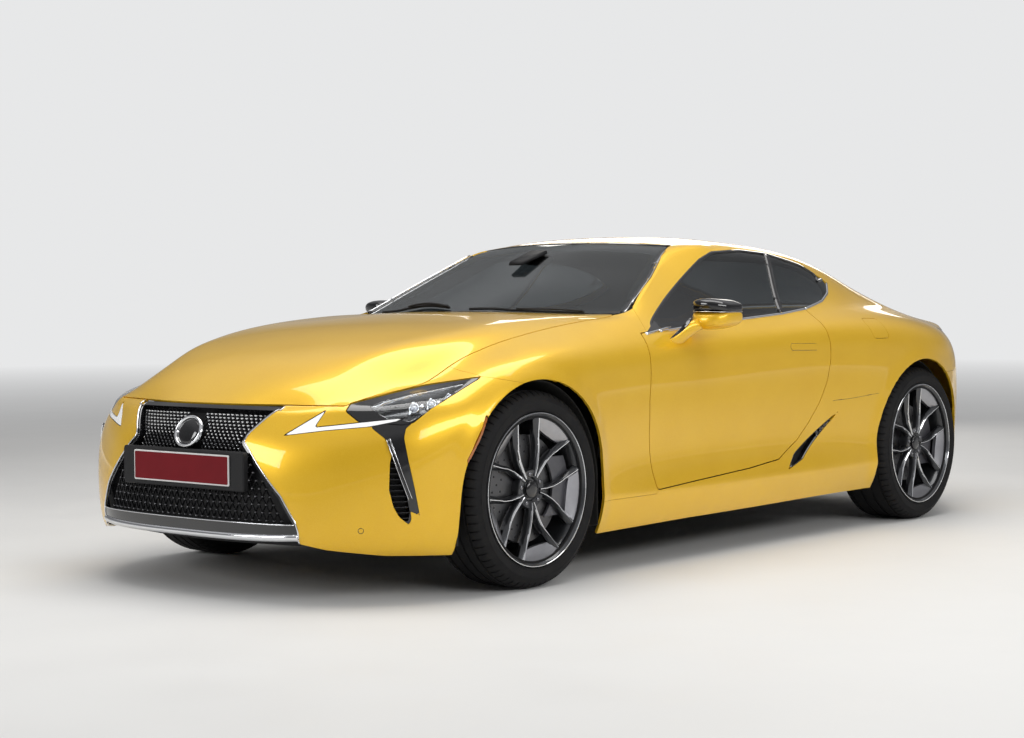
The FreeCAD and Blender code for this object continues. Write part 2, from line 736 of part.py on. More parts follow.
def make_suspension():
    """Control arms to the ball joints, and what carries the rear wheels."""
    arms = []
    y = track_half["front"]
    for sign in (-1, 1):
        z = tyre_radius["front"] + sign * ball_joint_height
        arm = box(front_axle_x - arm_width / 2, front_axle_x + arm_width / 2,
            liner_wall["front"] - 8 + seat_gap, y, z - arm_thickness / 2, z + arm_thickness / 2)
        tip = Part.makeCylinder(16, arm_thickness, Vector(front_axle_x, y, z - arm_thickness / 2))
        bore = Part.makeCylinder(9 + running_clearance, arm_thickness + 20,
            Vector(front_axle_x, y, z - arm_thickness / 2 - 10))
        end = box(front_axle_x - 100, front_axle_x + 100, y - 0.1, y + 60, z - 40, z + 40)
        arms.append(fuse_all([arm.cut(end), tip]).cut(bore))

    x, z, y = rear_axle_x, tyre_radius["rear"], track_half["rear"]
    member = fuse_all([
        box(x - 210, x + 160, -330, 330, 205, 235),
        box(x - 210, x - 150, -520, 520, 205, boot_floor_z - seat_gap),
        box(x + 110, x + 160, -520, 520, 205, boot_floor_z - seat_gap),
    ])
    save("rear_subframe", member)
    save("differential", Part.makeCylinder(95, 230, Vector(x - 20, -115, z - 20),
        Vector(0, 1, 0)).fuse(box(x - 20, x + 140, -70, 70, z - 90,
        z + 20)).cut(box(x + 110 - seat_gap, x + 161, -520, 520, 205, boot_floor_z)))
    shaft = Part.makeCylinder(22, y - 130 - 115 - seat_gap, Vector(x, 115 + seat_gap, z),
        Vector(0, 1, 0))
    save_pair("drive_shafts", shaft.cut(Part.makeCylinder(95.4, 240, Vector(x - 20, -120, z - 20),
        Vector(0, 1, 0))))
    arms.append(fuse_all([
        box(x + 60, x + 110 - seat_gap, 380, y - 140, 236, 262),
        box(x - 109, x + 109, y - 170, y - 130 - seat_gap, 236, 262),
    ]))
    save("suspension_arms", Part.makeCompound(arms + [mirrored(a) for a in arms]))


def upright(axle):
    """Hub carrier with its spindle, seen at the left wheel."""
    x, z, y = axle_x[axle], tyre_radius[axle], track_half[axle]
    body = box(x - 42, x + 42, y - 105, y + 14,
        z - ball_joint_height + arm_thickness / 2 + part_clearance,
        z + ball_joint_height - arm_thickness / 2 - part_clearance)
    spindle = Part.makeCylinder(spindle_radius, hub_inner + 32, Vector(x, y, z), Vector(0, 1, 0))
    return [body, spindle]


def caliper(axle, side_x):
    """A bridge over the disc, clear of it on all sides, behind or ahead of the hub."""
    x, z, y = axle_x[axle], tyre_radius[axle], track_half[axle]
    r = disc_radius[axle]
    ring = Part.makeCylinder(r + 36, 10 + disc_outer + part_clearance + 10, Vector(x, y - 10, z),
        Vector(0, 1, 0))
    ring = ring.cut(Part.makeCylinder(r - 55, 100, Vector(x, y - 12, z), Vector(0, 1, 0)))
    ring = ring.common(box(min(x, x + side_x * 400), max(x, x + side_x * 400), y - 20, y + 90,
        z - 110, z + 110))
    slot = Part.makeCylinder(r + part_clearance, disc_outer - disc_inner + 2 * part_clearance,
        Vector(x, y + disc_inner - part_clearance, z), Vector(0, 1, 0))
    bracket = box(min(x, x + side_x * (r - 30)), max(x, x + side_x * (r - 30)), y - 30, y - 8, z - 60,
        z + 60)
    foot = box(min(x + side_x * (r - 50), x + side_x * (r - 10)),
        max(x + side_x * (r - 50), x + side_x * (r - 10)), y - 30, y + 5, z - 60, z + 60)
    return ring.cut(slot), fuse_all([bracket, foot])


def rear_knuckle():
    x, z, y = rear_axle_x, tyre_radius["rear"], track_half["rear"]
    body, spindle = upright("rear")
    body = box(x - 70, x + 70, y - 130, y + 14, z - 120, z + 120)
    return fuse_all([body, spindle])


def make_knuckles():
    x, z, y = front_axle_x, tyre_radius["front"], track_half["front"]
    reach = ball_joint_height - 4
    pins = [
        Part.makeCylinder(9, 40, Vector(x, y, z - ball_joint_height - arm_thickness / 2 + 2)),
        Part.makeCylinder(9, 40, Vector(x, y, z + ball_joint_height + arm_thickness / 2 - 42)),
    ]
    bridge, bracket = caliper("front", -1)
    knuckle = fuse_all(upright("front") + pins + [bracket])
    both_sides("knuckle", knuckle.cut(bridge))
    both_sides("front_caliper", bridge)
    bridge, bracket = caliper("rear", -1)
    rear = fuse_all([rear_knuckle(), bracket])
    save_pair("rear_knuckles", rear.cut(bridge))
    save_pair("rear_calipers", bridge)


def tyre(axle):
    half, outer = tyre_width[axle] / 2, tyre_radius[axle]
    inner = barrel_radius
    bead, over = half - rim_step - seat_gap, rim_radius + seat_gap
    points = [
        (bead, inner + seat_gap), (bead, over), (half - 4, over + 4), (half - 16, outer - 12, half,
            (over + outer) / 2),
        (half - 34, outer - 1, half - 23, outer - 4), (-half + 34, outer - 1, 0, outer),
        (-half + 16, outer - 12, -half + 23, outer - 4), (-half + 4, over + 4, -half,
            (over + outer) / 2), (-bead, over),
        (-bead, inner + seat_gap),
    ]
    return turned(points)


def turned(points):
    """A solid of revolution about the wheel's axis from (across, radius) points."""
    edges = []
    here = points[0]
    for point in points[1:] + [points[0]]:
        a, b = Vector(0, here[0], here[1]), Vector(0, point[0], point[1])
        if len(point) == 4:
            edges.append(arc(a, Vector(0, point[2], point[3]), b))
        else:
            edges.append(line(a, b))
        here = point
    return Part.Face(wire(edges)).revolve(Vector(0, 0, 0), Vector(0, 1, 0), 360)


def rim(axle):
    half = tyre_width[axle] / 2 - rim_step
    barrel = turned([
        (-half - 8, rim_radius), (-half, rim_radius), (-half, barrel_radius), (half,
            barrel_radius), (half, rim_radius),
        (half + 8, rim_radius), (half + 8, barrel_radius - barrel_wall + 4), (half - 12,
            barrel_radius - barrel_wall), (-half - 8, barrel_radius - barrel_wall),
    ])
    face = half - 6
    hub = Part.makeCylinder(hub_radius, face - 14 - hub_inner, Vector(0, hub_inner, 0), Vector(0, 1, 0))
    hub = hub.cut(Part.makeCylinder(spindle_radius + running_clearance, 36,
        Vector(0, hub_inner - 1, 0), Vector(0, 1, 0)))
    spokes = []
    for k in range(spoke_pairs):
        turn = 90 + k * 360.0 / spoke_pairs
        for lean in (-1, 1):
            spoke = prism([(52, lean * 28 - 15), (52, lean * 28 + 15),
                (barrel_radius - 6, lean * 52 + 17), (barrel_radius - 6, lean * 52 - 17)], "y",
                face - spoke_depth, face)
            spoke.rotate(Vector(0, 0, 0), Vector(0, 1, 0), -turn)
            spokes.append(spoke.common(Part.makeCylinder(barrel_radius - 2, 400, Vector(0, -200, 0),
                Vector(0, 1, 0))))
    return fuse_all([barrel, hub] + spokes)


def disc(axle):
    thick = disc_outer - disc_inner
    plate = Part.makeCylinder(disc_radius[axle], thick, Vector(0, disc_inner, 0), Vector(0, 1, 0))
    return plate.cut(Part.makeCylinder(spindle_radius + running_clearance, 100, Vector(0, -10, 0),
        Vector(0, 1, 0)))


def make_wheels():
    for axle in ("front", "rear"):
        pieces = {"tyre": tyre(axle), "rim": rim(axle), "disc": disc(axle)}
        for name, piece in pieces.items():
            piece.translate(Vector(axle_x[axle], track_half[axle], tyre_radius[axle]))
            both_sides(name + "_" + axle, piece)


def make_interior():
    seats = []
    for side in (1, -1):
        y = side * 380
        cushion = box(-300, 230, y - 244, y + 244, floor_z + floor_thickness + 80,
            floor_z + floor_thickness + 230)
        back = prism([(-230, 390), (-330, 420), (-560, 960), (-520, 1040), (-440, 1030), (-380, 900)],
            "y", y - 240, y + 240)
        base = box(-240, 160, y - 190, y + 190, floor_z + floor_thickness + seat_gap,
            floor_z + floor_thickness + 81)
        seats.append(fuse_all([cushion, back, base]))
    save("front_seats", Part.makeCompound(seats))
    seat_z = floor_z + floor_thickness + seat_gap
    bench = prism([(-640, seat_z), (-1000, seat_z), (-1140, 880), (-1040, 880), (-920, 480),
        (-640, 460)], "y", -600, 600)
    bench = bench.cut(box(-1200, -600, -135, 135, 100, 335))
    save("rear_seat", bench)
    dash = prism([(firewall_x - seat_gap, 560), (firewall_x - seat_gap, 915), (700, 938), (560, 922),
        (470, 860), (490, 700), (620, 600)], "y", -720, 720)
    save("centre_console", prism([(615, 330 + seat_gap), (615, 600), (430, 620), (200, 520),
        (-480, 540), (-480, 330 + seat_gap)], "y", -105, 105))
    column = placed_on_column(Part.makeCylinder(34, 330, Vector(column_gap + 25, 0, 0),
        Vector(1, 0, 0)))
    column = column.cut(box(firewall_x - 60, 1400, -800, 800, 0, 1200))
    bore = placed_on_column(Part.makeCylinder(shaft_radius + running_clearance, 110, Vector(0, 0, 0),
        Vector(1, 0, 0)))
    save("dashboard", fuse_all([dash, column]).cut(bore))
    ring = Part.makeTorus(178, 15, Vector(0, 0, 0), Vector(1, 0, 0))
    pieces = [box(-14, 14, -175, 175, -16, 16), box(-14, 14, -14, 14, -175, 0)]
    pieces.append(Part.makeCylinder(62, 50, Vector(-25, 0, 0), Vector(1, 0, 0)))
    pieces.append(Part.makeCylinder(shaft_radius, 100, Vector(0, 0, 0), Vector(1, 0, 0)))
    save("steering_wheel", placed_on_column(fuse_all([ring] + pieces)))


def placed_on_column(shape):
    """Takes a shape made about the X axis to the steering column."""
    shape.rotate(Vector(0, 0, 0), Vector(0, 1, 0), column_tilt)
    shape.translate(Vector(*column_top))
    return shape


def make_details():
    front = nose_x - grille_recess
    plates = [box(front, front + plate_thickness, -260, 260, 407, 517)]
    muffler = box(-2120, -1900, -400, 400, 260, boot_floor_z - seat_gap)
    pieces = [muffler]
    for side in (1, -1):
        centre = side * 515
        pieces.append(box(-2120, -2000, min(side * 390, centre + side * 60),
            max(side * 390, centre + side * 60), 262, 318))
        pieces.append(box(-2335, -2050, centre - 62, centre + 62, 258, 322))
    save("exhaust", fuse_all(pieces))
    back = tail_x + plate_recess - seat_gap
    plates.append(box(back - plate_thickness, back, -260, 260, 562, 672))
    save("plates", Part.makeCompound(plates))


make_lids()
make_front()
make_side_frame()
make_doors()
make_cabin()
make_mirrors()
make_rear()
make_cowl()
make_liners()
make_floor()
make_front_structure()
make_suspension()
make_knuckles()
make_wheels()
make_interior()
make_details()
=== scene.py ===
import math
import bmesh
import bpy
import numpy as np
from mathutils import Matrix, Vector
from mathutils.bvhtree import BVHTree


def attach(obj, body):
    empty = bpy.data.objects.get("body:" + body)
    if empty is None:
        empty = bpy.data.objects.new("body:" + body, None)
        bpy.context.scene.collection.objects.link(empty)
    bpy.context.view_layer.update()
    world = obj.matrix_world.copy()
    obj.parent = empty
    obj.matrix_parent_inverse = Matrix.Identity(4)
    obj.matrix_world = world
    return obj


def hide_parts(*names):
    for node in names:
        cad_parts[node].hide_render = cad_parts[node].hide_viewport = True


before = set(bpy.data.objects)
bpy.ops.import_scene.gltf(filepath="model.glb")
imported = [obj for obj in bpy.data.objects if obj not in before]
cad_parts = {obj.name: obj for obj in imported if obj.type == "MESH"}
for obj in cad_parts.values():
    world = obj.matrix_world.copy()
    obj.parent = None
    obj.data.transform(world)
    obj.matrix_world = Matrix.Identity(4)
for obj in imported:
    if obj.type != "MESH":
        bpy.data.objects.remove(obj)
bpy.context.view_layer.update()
print("frame loaded:", len(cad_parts), "nodes")

# Camera, solved from the wheels, the plate and the window corners
view = {
    "place": (6.935, 5.420, 1.055), "yaw": 220.13, "pitch": -2.005, "roll": -0.395,
    "focalPixels": 1938.25, "framePixels": 1024, "sensorWidth": 36, "farthest": 200,
}


def makeCamera():
    yaw, pitch, roll = (math.radians(view[k]) for k in ("yaw", "pitch", "roll"))
    ahead = Vector((math.cos(yaw) * math.cos(pitch), math.sin(yaw) * math.cos(pitch), math.sin(pitch)))
    right = ahead.cross(Vector((0, 0, 1))).normalized()
    up = right.cross(ahead)
    right, up = right * math.cos(roll) + up * math.sin(roll), up * math.cos(roll) - right * math.sin(roll)
    turned = Matrix((right, up, -ahead)).transposed().to_4x4()
    data = bpy.data.cameras.new("camera")
    data.sensor_width = view["sensorWidth"]
    data.lens = view["focalPixels"] / view["framePixels"] * view["sensorWidth"]
    data.clip_end = view["farthest"]
    camera = bpy.data.objects.new("camera", data)
    camera.matrix_world = Matrix.Translation(view["place"]) @ turned
    bpy.context.scene.collection.objects.link(camera)
    bpy.context.scene.camera = camera


makeCamera()
print("camera placed")


# Small helpers for meshes
def link(name, mesh):
    obj = bpy.data.objects.new(name, mesh)
    bpy.context.scene.collection.objects.link(obj)
    return obj


def meshFrom(name, points, faces, smooth=True):
    mesh = bpy.data.meshes.new(name)
    mesh.from_pydata([tuple(p) for p in points], [], [tuple(f) for f in faces])
    mesh.validate()
    if smooth:
        mesh.shade_smooth()
    return mesh


def settle(obj):
    # the modifiers are applied through the evaluated object
    evaluated = obj.evaluated_get(bpy.context.evaluated_depsgraph_get())
    mesh = bpy.data.meshes.new_from_object(evaluated)
    obj.modifiers.clear()
    old = obj.data
    obj.data = mesh
    bpy.data.meshes.remove(old)
    mesh.name = obj.name
    return obj


# The body's skin: a cage of measured points, subdivided. One half is given, the left one.
# Rows go round the car from the sill up; each nose row runs from the centre to the front corner.
skinCage = {
    "levels": 3,
    "rowHeight": {"crease": 0.30, "flank": 0.42, "upper": 0.58},
    "nose": [
        [(2.335, 0, .150), (2.330, .19, .150), (2.300, .39, .150), (2.268, .48, .150), (2.220, .56, .150),
            (2.160, .645, .150), (2.060, .74, .150), (1.940, .82, .152)],
        [(2.375, 0, .215), (2.372, .19, .215), (2.345, .39, .215), (2.310, .49, .215), (2.265, .575, .213),
            (2.200, .66, .210), (2.090, .765, .205), (1.960, .85, .200)],
        [(2.386, 0, .320), (2.382, .19, .320), (2.355, .39, .320), (2.318, .50, .318), (2.270, .59, .315),
            (2.205, .68, .310), (2.100, .785, .305), (1.970, .868, .300)],
        [(2.377, 0, .450), (2.374, .19, .450), (2.352, .385, .450), (2.312, .50, .448), (2.262, .595, .445),
            (2.200, .69, .440), (2.100, .795, .435), (1.975, .880, .425)],
        [(2.356, 0, .560), (2.353, .19, .560), (2.330, .36, .560), (2.290, .48, .560), (2.240, .585, .560),
            (2.180, .685, .560), (2.085, .795, .565), (1.965, .885, .575)],
        [(2.323, 0, .630), (2.318, .19, .630), (2.285, .365, .630), (2.245, .475, .630),
            (2.200, .575, .630), (2.145, .67, .635), (2.055, .775, .650), (1.945, .860, .670)],
        [(2.296, 0, .668), (2.290, .19, .668), (2.250, .38, .667), (2.215, .485, .667), (2.180, .575, .668),
            (2.135, .655, .672), (2.050, .74, .690), (1.935, .800, .718)],
        [(2.274, 0, .692), (2.262, .19, .692), (2.208, .387, .690), (2.180, .49, .690), (2.155, .565, .692),
            (2.128, .625, .694), (2.040, .66, .715), (1.930, .682, .742)],
    ],
    # x, the bottom's z and y, the y of low, crease, flank and upper, then z and y of shoulder, crest and edge
    "side": [
        (1.806, .155, .880, .893, .905, .920, .932, .690, .910, .747, .832, .770, .702),
        (1.650, .157, .884, .897, .908, .926, .943, .752, .930, .818, .862, .845, .728),
        (1.500, .159, .885, .898, .910, .930, .946, .772, .938, .852, .876, .890, .750),
        (1.350, .160, .885, .898, .912, .932, .948, .782, .941, .874, .881, .922, .757),
        (1.200, .160, .885, .898, .915, .926, .942, .784, .937, .885, .876, .943, .758),
        (1.060, .161, .885, .899, .918, .915, .929, .784, .926, .892, .868, .957, .762),
        (0.900, .163, .885, .900, .918, .903, .915, .785, .914, .896, .863, .966, .768),
        (0.720, .165, .885, .900, .916, .893, .905, .786, .905, .898, .862, .972, .785),
        (0.500, .168, .887, .902, .917, .889, .900, .790, .900, .899, .862, .969, .797),
        (0.330, .169, .888, .903, .918, .888, .898, .795, .898, .902, .862, .974, .798),
        (0.120, .170, .889, .904, .919, .888, .898, .803, .899, .910, .862, .982, .798),
        (-0.150, .172, .890, .905, .921, .890, .900, .815, .902, .921, .863, .993, .797),
        (-0.400, .175, .892, .907, .924, .895, .906, .830, .908, .935, .866, 1.005, .793),
        (-0.650, .177, .894, .910, .928, .905, .918, .840, .920, .950, .869, 1.020, .785),
        (-0.900, .178, .896, .913, .932, .920, .935, .843, .936, .960, .872, 1.030, .765),
        (-1.150, .180, .900, .920, .940, .937, .952, .834, .950, .958, .878, 1.026, .745),
        (-1.400, .182, .905, .925, .945, .947, .962, .815, .957, .938, .884, 1.005, .728),
        (-1.650, .185, .893, .912, .933, .938, .950, .792, .943, .910, .872, .977, .715),
        (-1.850, .190, .845, .865, .885, .892, .902, .772, .892, .890, .822, .950, .695),
        (-2.020, .197, .765, .785, .803, .808, .815, .757, .803, .868, .755, .934, .672),
    ],
    "tail": [
        [(-2.135, .700, .205), (-2.195, .65, .208), (-2.242, .59, .21), (-2.280, .525, .212),
            (-2.303, .455, .214), (-2.323, .37, .215), (-2.342, .19, .216), (-2.346, 0, .216)],
        [(-2.142, .722, .250), (-2.208, .67, .252), (-2.262, .605, .255), (-2.302, .535, .258),
            (-2.328, .46, .26), (-2.347, .375, .26), (-2.366, .19, .26), (-2.370, 0, .26)],
        [(-2.146, .738, .320), (-2.218, .683, .32), (-2.276, .615, .32), (-2.317, .542, .32),
            (-2.343, .465, .32), (-2.361, .378, .32), (-2.380, .19, .32), (-2.384, 0, .32)],
        [(-2.146, .743, .430), (-2.220, .688, .43), (-2.279, .62, .43), (-2.319, .545, .43),
            (-2.345, .467, .43), (-2.363, .378, .43), (-2.382, .19, .43), (-2.386, 0, .43)],
        [(-2.142, .748, .590), (-2.214, .69, .59), (-2.270, .622, .59), (-2.309, .546, .59),
            (-2.334, .467, .59), (-2.352, .378, .59), (-2.370, .19, .59), (-2.374, 0, .59)],
        [(-2.136, .737, .740), (-2.203, .68, .74), (-2.256, .614, .74), (-2.293, .54, .74),
            (-2.316, .462, .74), (-2.333, .375, .74), (-2.350, .19, .74), (-2.354, 0, .74)],
        [(-2.130, .700, .852), (-2.196, .655, .85), (-2.250, .596, .852), (-2.287, .53, .856),
            (-2.309, .455, .858), (-2.325, .37, .86), (-2.343, .19, .863), (-2.347, 0, .864)],
        [(-2.125, .650, .922), (-2.190, .622, .915), (-2.242, .582, .908), (-2.278, .522, .916),
            (-2.302, .45, .923), (-2.319, .367, .929), (-2.338, .19, .936), (-2.342, 0, .938)],
    ],
    # bonnet, windscreen, roof and deck, from the edge to the centre line
    "top": [
        [(2.068, .585, .739), (2.095, .500, .757), (2.130, .380, .764), (2.165, .19, .758),
            (2.172, 0, .757)],
        [(1.950, .600, .783), (1.975, .510, .820), (2.008, .380, .830), (2.033, .19, .834),
            (2.040, 0, .835)],
        [(1.815, .628, .833), (1.832, .535, .880), (1.862, .380, .886), (1.878, .19, .890),
            (1.882, 0, .891)],
        [(1.660, .650, .893), (1.670, .555, .919), (1.690, .380, .930), (1.700, .19, .936),
            (1.703, 0, .938)],
        [(1.510, .665, .925), (1.520, .575, .947), (1.535, .380, .958), (1.545, .19, .964),
            (1.548, 0, .966)],
        [(1.355, .680, .948), (1.360, .590, .968), (1.375, .380, .977), (1.382, .19, .983),
            (1.385, 0, .985)],
        [(1.205, .690, .964), (1.215, .605, .981), (1.225, .380, .990), (1.232, .19, .997),
            (1.235, 0, .999)],
        [(1.070, .700, .975), (1.085, .615, .990), (1.110, .380, .999), (1.125, .19, 1.005),
            (1.130, 0, 1.007)],
        [(0.910, .710, .985), (0.930, .630, .998), (0.970, .390, 1.005), (0.995, .20, 1.010),
            (1.000, 0, 1.012)],
        [(0.690, .755, .991), (0.662, .712, 1.006), (0.800, .400, 1.010), (0.885, .19, 1.014),
            (0.905, 0, 1.015)],
        [(0.478, .735, 1.037), (0.455, .667, 1.106), (0.585, .380, 1.110), (0.655, .19, 1.112),
            (0.675, 0, 1.112)],
        [(0.305, .705, 1.085), (0.277, .606, 1.197), (0.360, .360, 1.204), (0.410, .185, 1.208),
            (0.430, 0, 1.209)],
        [(0.110, .685, 1.135), (0.092, .565, 1.280), (0.145, .350, 1.299), (0.180, .18, 1.308),
            (0.192, 0, 1.311)],
        [(-.150, .700, 1.145), (-.150, .600, 1.289), (-.150, .380, 1.332), (-.150, .19, 1.345),
            (-.150, 0, 1.349)],
        [(-.400, .703, 1.145), (-.400, .610, 1.284), (-.400, .380, 1.328), (-.400, .19, 1.342),
            (-.400, 0, 1.346)],
        [(-.650, .700, 1.140), (-.650, .606, 1.268), (-.650, .380, 1.312), (-.650, .19, 1.327),
            (-.650, 0, 1.331)],
        [(-.900, .687, 1.125), (-.900, .588, 1.236), (-.900, .380, 1.280), (-.900, .19, 1.296),
            (-.900, 0, 1.301)],
        [(-1.15, .660, 1.100), (-1.15, .560, 1.188), (-1.15, .370, 1.231), (-1.15, .185, 1.249),
            (-1.15, 0, 1.254)],
        [(-1.40, .637, 1.062), (-1.40, .525, 1.128), (-1.40, .355, 1.167), (-1.40, .18, 1.185),
            (-1.40, 0, 1.190)],
        [(-1.65, .615, 1.020), (-1.65, .497, 1.063), (-1.65, .345, 1.091), (-1.65, .175, 1.104),
            (-1.65, 0, 1.108)],
        [(-1.85, .598, .978), (-1.85, .482, 1.000), (-1.85, .345, 1.009), (-1.85, .18, 1.014),
            (-1.85, 0, 1.016)],
        [(-2.02, .580, .949), (-2.02, .467, .959), (-2.02, .350, .965), (-2.02, .18, .969),
            (-2.02, 0, .970)],
        [(-2.140, .560, .936), (-2.150, .460, .943), (-2.160, .370, .947), (-2.168, .19, .952),
            (-2.170, 0, .953)],
        [(-2.208, .550, .927), (-2.222, .458, .934), (-2.235, .370, .938), (-2.250, .19, .944),
            (-2.254, 0, .946)],
    ],
}


def buildSkin():
    c = skinCage
    heights = c["rowHeight"]
    rows = [list(row) for row in c["nose"]]
    for s in c["side"]:
        x = s[0]
        ring = [(s[2], s[1]), (s[3], s[1] + .045), (s[4], heights["crease"]), (s[5], heights["flank"]),
            (s[6], heights["upper"]), (s[8], s[7]), (s[10], s[9]), (s[12], s[11])]
        for row, (y, z) in zip(rows, ring):
            row.append((x, y, z))
    for row, end in zip(rows, c["tail"]):
        row.extend(end)
    points, index = [], {}

    def put(p):
        key = tuple(round(v, 5) for v in p)
        if key not in index:
            index[key] = len(points)
            points.append(Vector(p))
        return index[key]

    faces, creases = [], {}

    def crease(a, b, value):
        a, b = put(a), put(b)
        creases[(min(a, b), max(a, b))] = value

    def flip(p):
        return (p[0], -p[1] if p[1] else 0, p[2])

    count = len(rows[0])
    edge = rows[-1]
    grid = [[edge[5 - k] for k in range(6)]]
    grid += [[edge[6 + i]] + line for i, line in enumerate(c["top"])]
    grid.append([edge[count - 6 + k] for k in range(6)])
    quads = [(rows[r][i], rows[r][i + 1], rows[r + 1][i + 1], rows[r + 1][i]) for r in range(len(rows) - 1)
        for i in range(count - 1)]
    for i in range(len(grid) - 1):
        for k in range(5):
            quads.append((grid[i][k], grid[i + 1][k], grid[i + 1][k + 1], grid[i][k + 1]))
    for quad in quads:
        faces.append([put(p) for p in quad])
        faces.append([put(flip(p)) for p in reversed(quad)])
    for mirror in (lambda p: p, flip):
        for i in range(count - 1):
            x = 0.5 * (rows[2][i][0] + rows[2][i + 1][0])
            crease(mirror(rows[2][i]), mirror(rows[2][i + 1]), 0.45 if -1.3 < x < 1.3 else 0.2)
        for i in range(5):
            crease(mirror(edge[i]), mirror(edge[i + 1]), 0.55)
            crease(mirror(edge[count - 1 - i]), mirror(edge[count - 2 - i]), 0.6)
        for i in range(len(grid) - 1):
            x = grid[i][2][0]
            crease(mirror(grid[i][2]), mirror(grid[i + 1][2]), 0.3 if x > 0.7 else 0.55 if x > 0.09
                else 0.3 if x > -1.3 else 0.12)
        for k in range(2, 5):
            crease(mirror(grid[10][k]), mirror(grid[10][k + 1]), 0.8)
            crease(mirror(grid[13][k]), mirror(grid[13][k + 1]), 0.2)
    mesh = meshFrom("skinCage", points, faces)
    layer = mesh.attributes.new("crease_edge", "FLOAT", "EDGE")
    for e in mesh.edges:
        layer.data[e.index].value = creases.get((min(e.vertices), max(e.vertices)), 0.0)
    obj = link("skinCage", mesh)
    smooth = obj.modifiers.new("smooth", "SUBSURF")
    smooth.levels = smooth.render_levels = 1
    # the cage is pushed out twice so that the smoothed surface passes near the measured points
    targets = np.array([tuple(p) for p in points])
    cage = targets.copy()
    for _ in range(2):
        evaluated = obj.evaluated_get(bpy.context.evaluated_depsgraph_get())
        flat = np.empty(len(evaluated.data.vertices) * 3)
        evaluated.data.vertices.foreach_get("co", flat)
        cage += targets - flat.reshape(-1, 3)[:len(points)]
        mesh.vertices.foreach_set("co", cage.ravel())
        mesh.update()
    smooth.levels = smooth.render_levels = c["levels"]
    settle(obj)
    return obj


skin = buildSkin()
print("skin:", len(skin.data.polygons), "faces")


# Shut lines and openings are outlines in a flat view: "xz" from the side, "xy" from above, "yz" from ahead,
# and "corner", which looks at the front corner along the diagonal: across is (x - |y|) * 0.7071
def flatView(plane, points):
    if plane == "corner":
        return np.stack(((points[:, 0] - np.abs(points[:, 1])) * 0.7071, points[:, 2]), 1)
    a, b = {"xz": (0, 2), "xy": (0, 1), "yz": (1, 2)}[plane]
    return np.stack((points[:, a], points[:, b]), 1)


def filleted(corners, radius=0.01, steps=6):
    # each corner may carry its own radius as a third value
    out = []
    count = len(corners)
    for i, corner in enumerate(corners):
        here = Vector(corner[:2])
        r = corner[2] if len(corner) > 2 else radius
        before, after = Vector(corners[i - 1][:2]) - here, Vector(corners[(i + 1) % count][:2]) - here
        if r <= 0 or before.length < 1e-6 or after.length < 1e-6:
            out.append(tuple(here))
            continue
        half = 0.5 * before.angle(after)
        reach = min(r / max(math.tan(half), 0.05), 0.48 * before.length, 0.48 * after.length)
        a, b = here + before.normalized() * reach, here + after.normalized() * reach
        for k in range(steps + 1):
            t = k / steps
            out.append(tuple(a * (1 - t) ** 2 + here * 2 * t * (1 - t) + b * t ** 2))
    return out


def wholeOutline(half, across=1):
    # the half given, then its mirror image on the way back; across is the value that runs across the car
    mirrored = [tuple(-v if k == across else v for k, v in enumerate(p)) for p in reversed(half)
        if p[across]]
    return half + mirrored


class Outline:
    # a closed line in one flat view; its field is the distance to it, below zero inside
    def __init__(self, plane, corners, radius=0.01, side=0, grow=0.0, outside=False):
        self.plane, self.side, self.grow, self.outside = plane, side, grow, outside
        self.line = np.array(filleted(corners, radius))

    def grown(self, grow, outside=False):
        copy = Outline.__new__(Outline)
        copy.plane, copy.side, copy.line = self.plane, self.side, self.line
        copy.grow, copy.outside = self.grow + grow, outside
        return copy

    def other(self):
        # the same outline on the car's right
        copy = self.grown(0.0, self.outside)
        copy.side = -self.side
        if self.plane == "xy":
            copy.line = self.line * [1, -1]
        elif self.plane == "yz":
            copy.line = self.line * [-1, 1]
        return copy

    def field(self, points):
        p = flatView(self.plane, points)
        best = np.full(len(p), 1e9)
        inside = np.zeros(len(p), bool)
        start, end = self.line, np.roll(self.line, -1, 0)
        for s, e in zip(start, end):
            d = e - s
            t = np.clip(((p - s) @ d) / max(d @ d, 1e-12), 0, 1)
            best = np.minimum(best, np.hypot(*(p - s - t[:, None] * d).T))
            crosses = (s[1] > p[:, 1]) != (e[1] > p[:, 1])
            with np.errstate(divide="ignore", invalid="ignore"):
                inside ^= crosses & (p[:, 0] < d[0] * (p[:, 1] - s[1]) / d[1] + s[0])
        value = np.where(inside, -best, best) - self.grow
        if self.side:
            # the outline counts only on its own side of the car
            value = np.maximum(value, 0.02 - self.side * points[:, 1])
        return -value if self.outside else value


class Plane:
    # everything on one side of a flat cut: normal . p < reach
    def __init__(self, normal, reach):
        self.normal, self.reach = np.array(normal, float), reach

    def field(self, points):
        return points @ self.normal - self.reach


class Both:
    # the overlap of several cuts, or all but that overlap
    def __init__(self, cuts, outside=False):
        self.cuts, self.outside = cuts, outside

    def grown(self, grow, outside=False):
        cuts = [cut.grown(grow) if isinstance(cut, Outline) else Plane(cut.normal, cut.reach + grow)
            for cut in self.cuts]
        return Both(cuts, outside)

    def other(self):
        return self

    def field(self, points):
        value = np.max([cut.field(points) for cut in self.cuts], axis=0)
        return -value if self.outside else value


def coordinates(mesh):
    flat = np.empty(len(mesh.vertices) * 3)
    mesh.vertices.foreach_get("co", flat)
    return flat.reshape(-1, 3)


# How a surface is cut: the reach past the cut within which faces are looked at, the band in which edges are
# halved, the shortest edge that is, the distance that counts as on the cut and the one that merges points
cutting = {"kept": 0.025, "band": 0.012, "shortest": 0.008, "onCut": 0.0002, "merged": 0.0003}


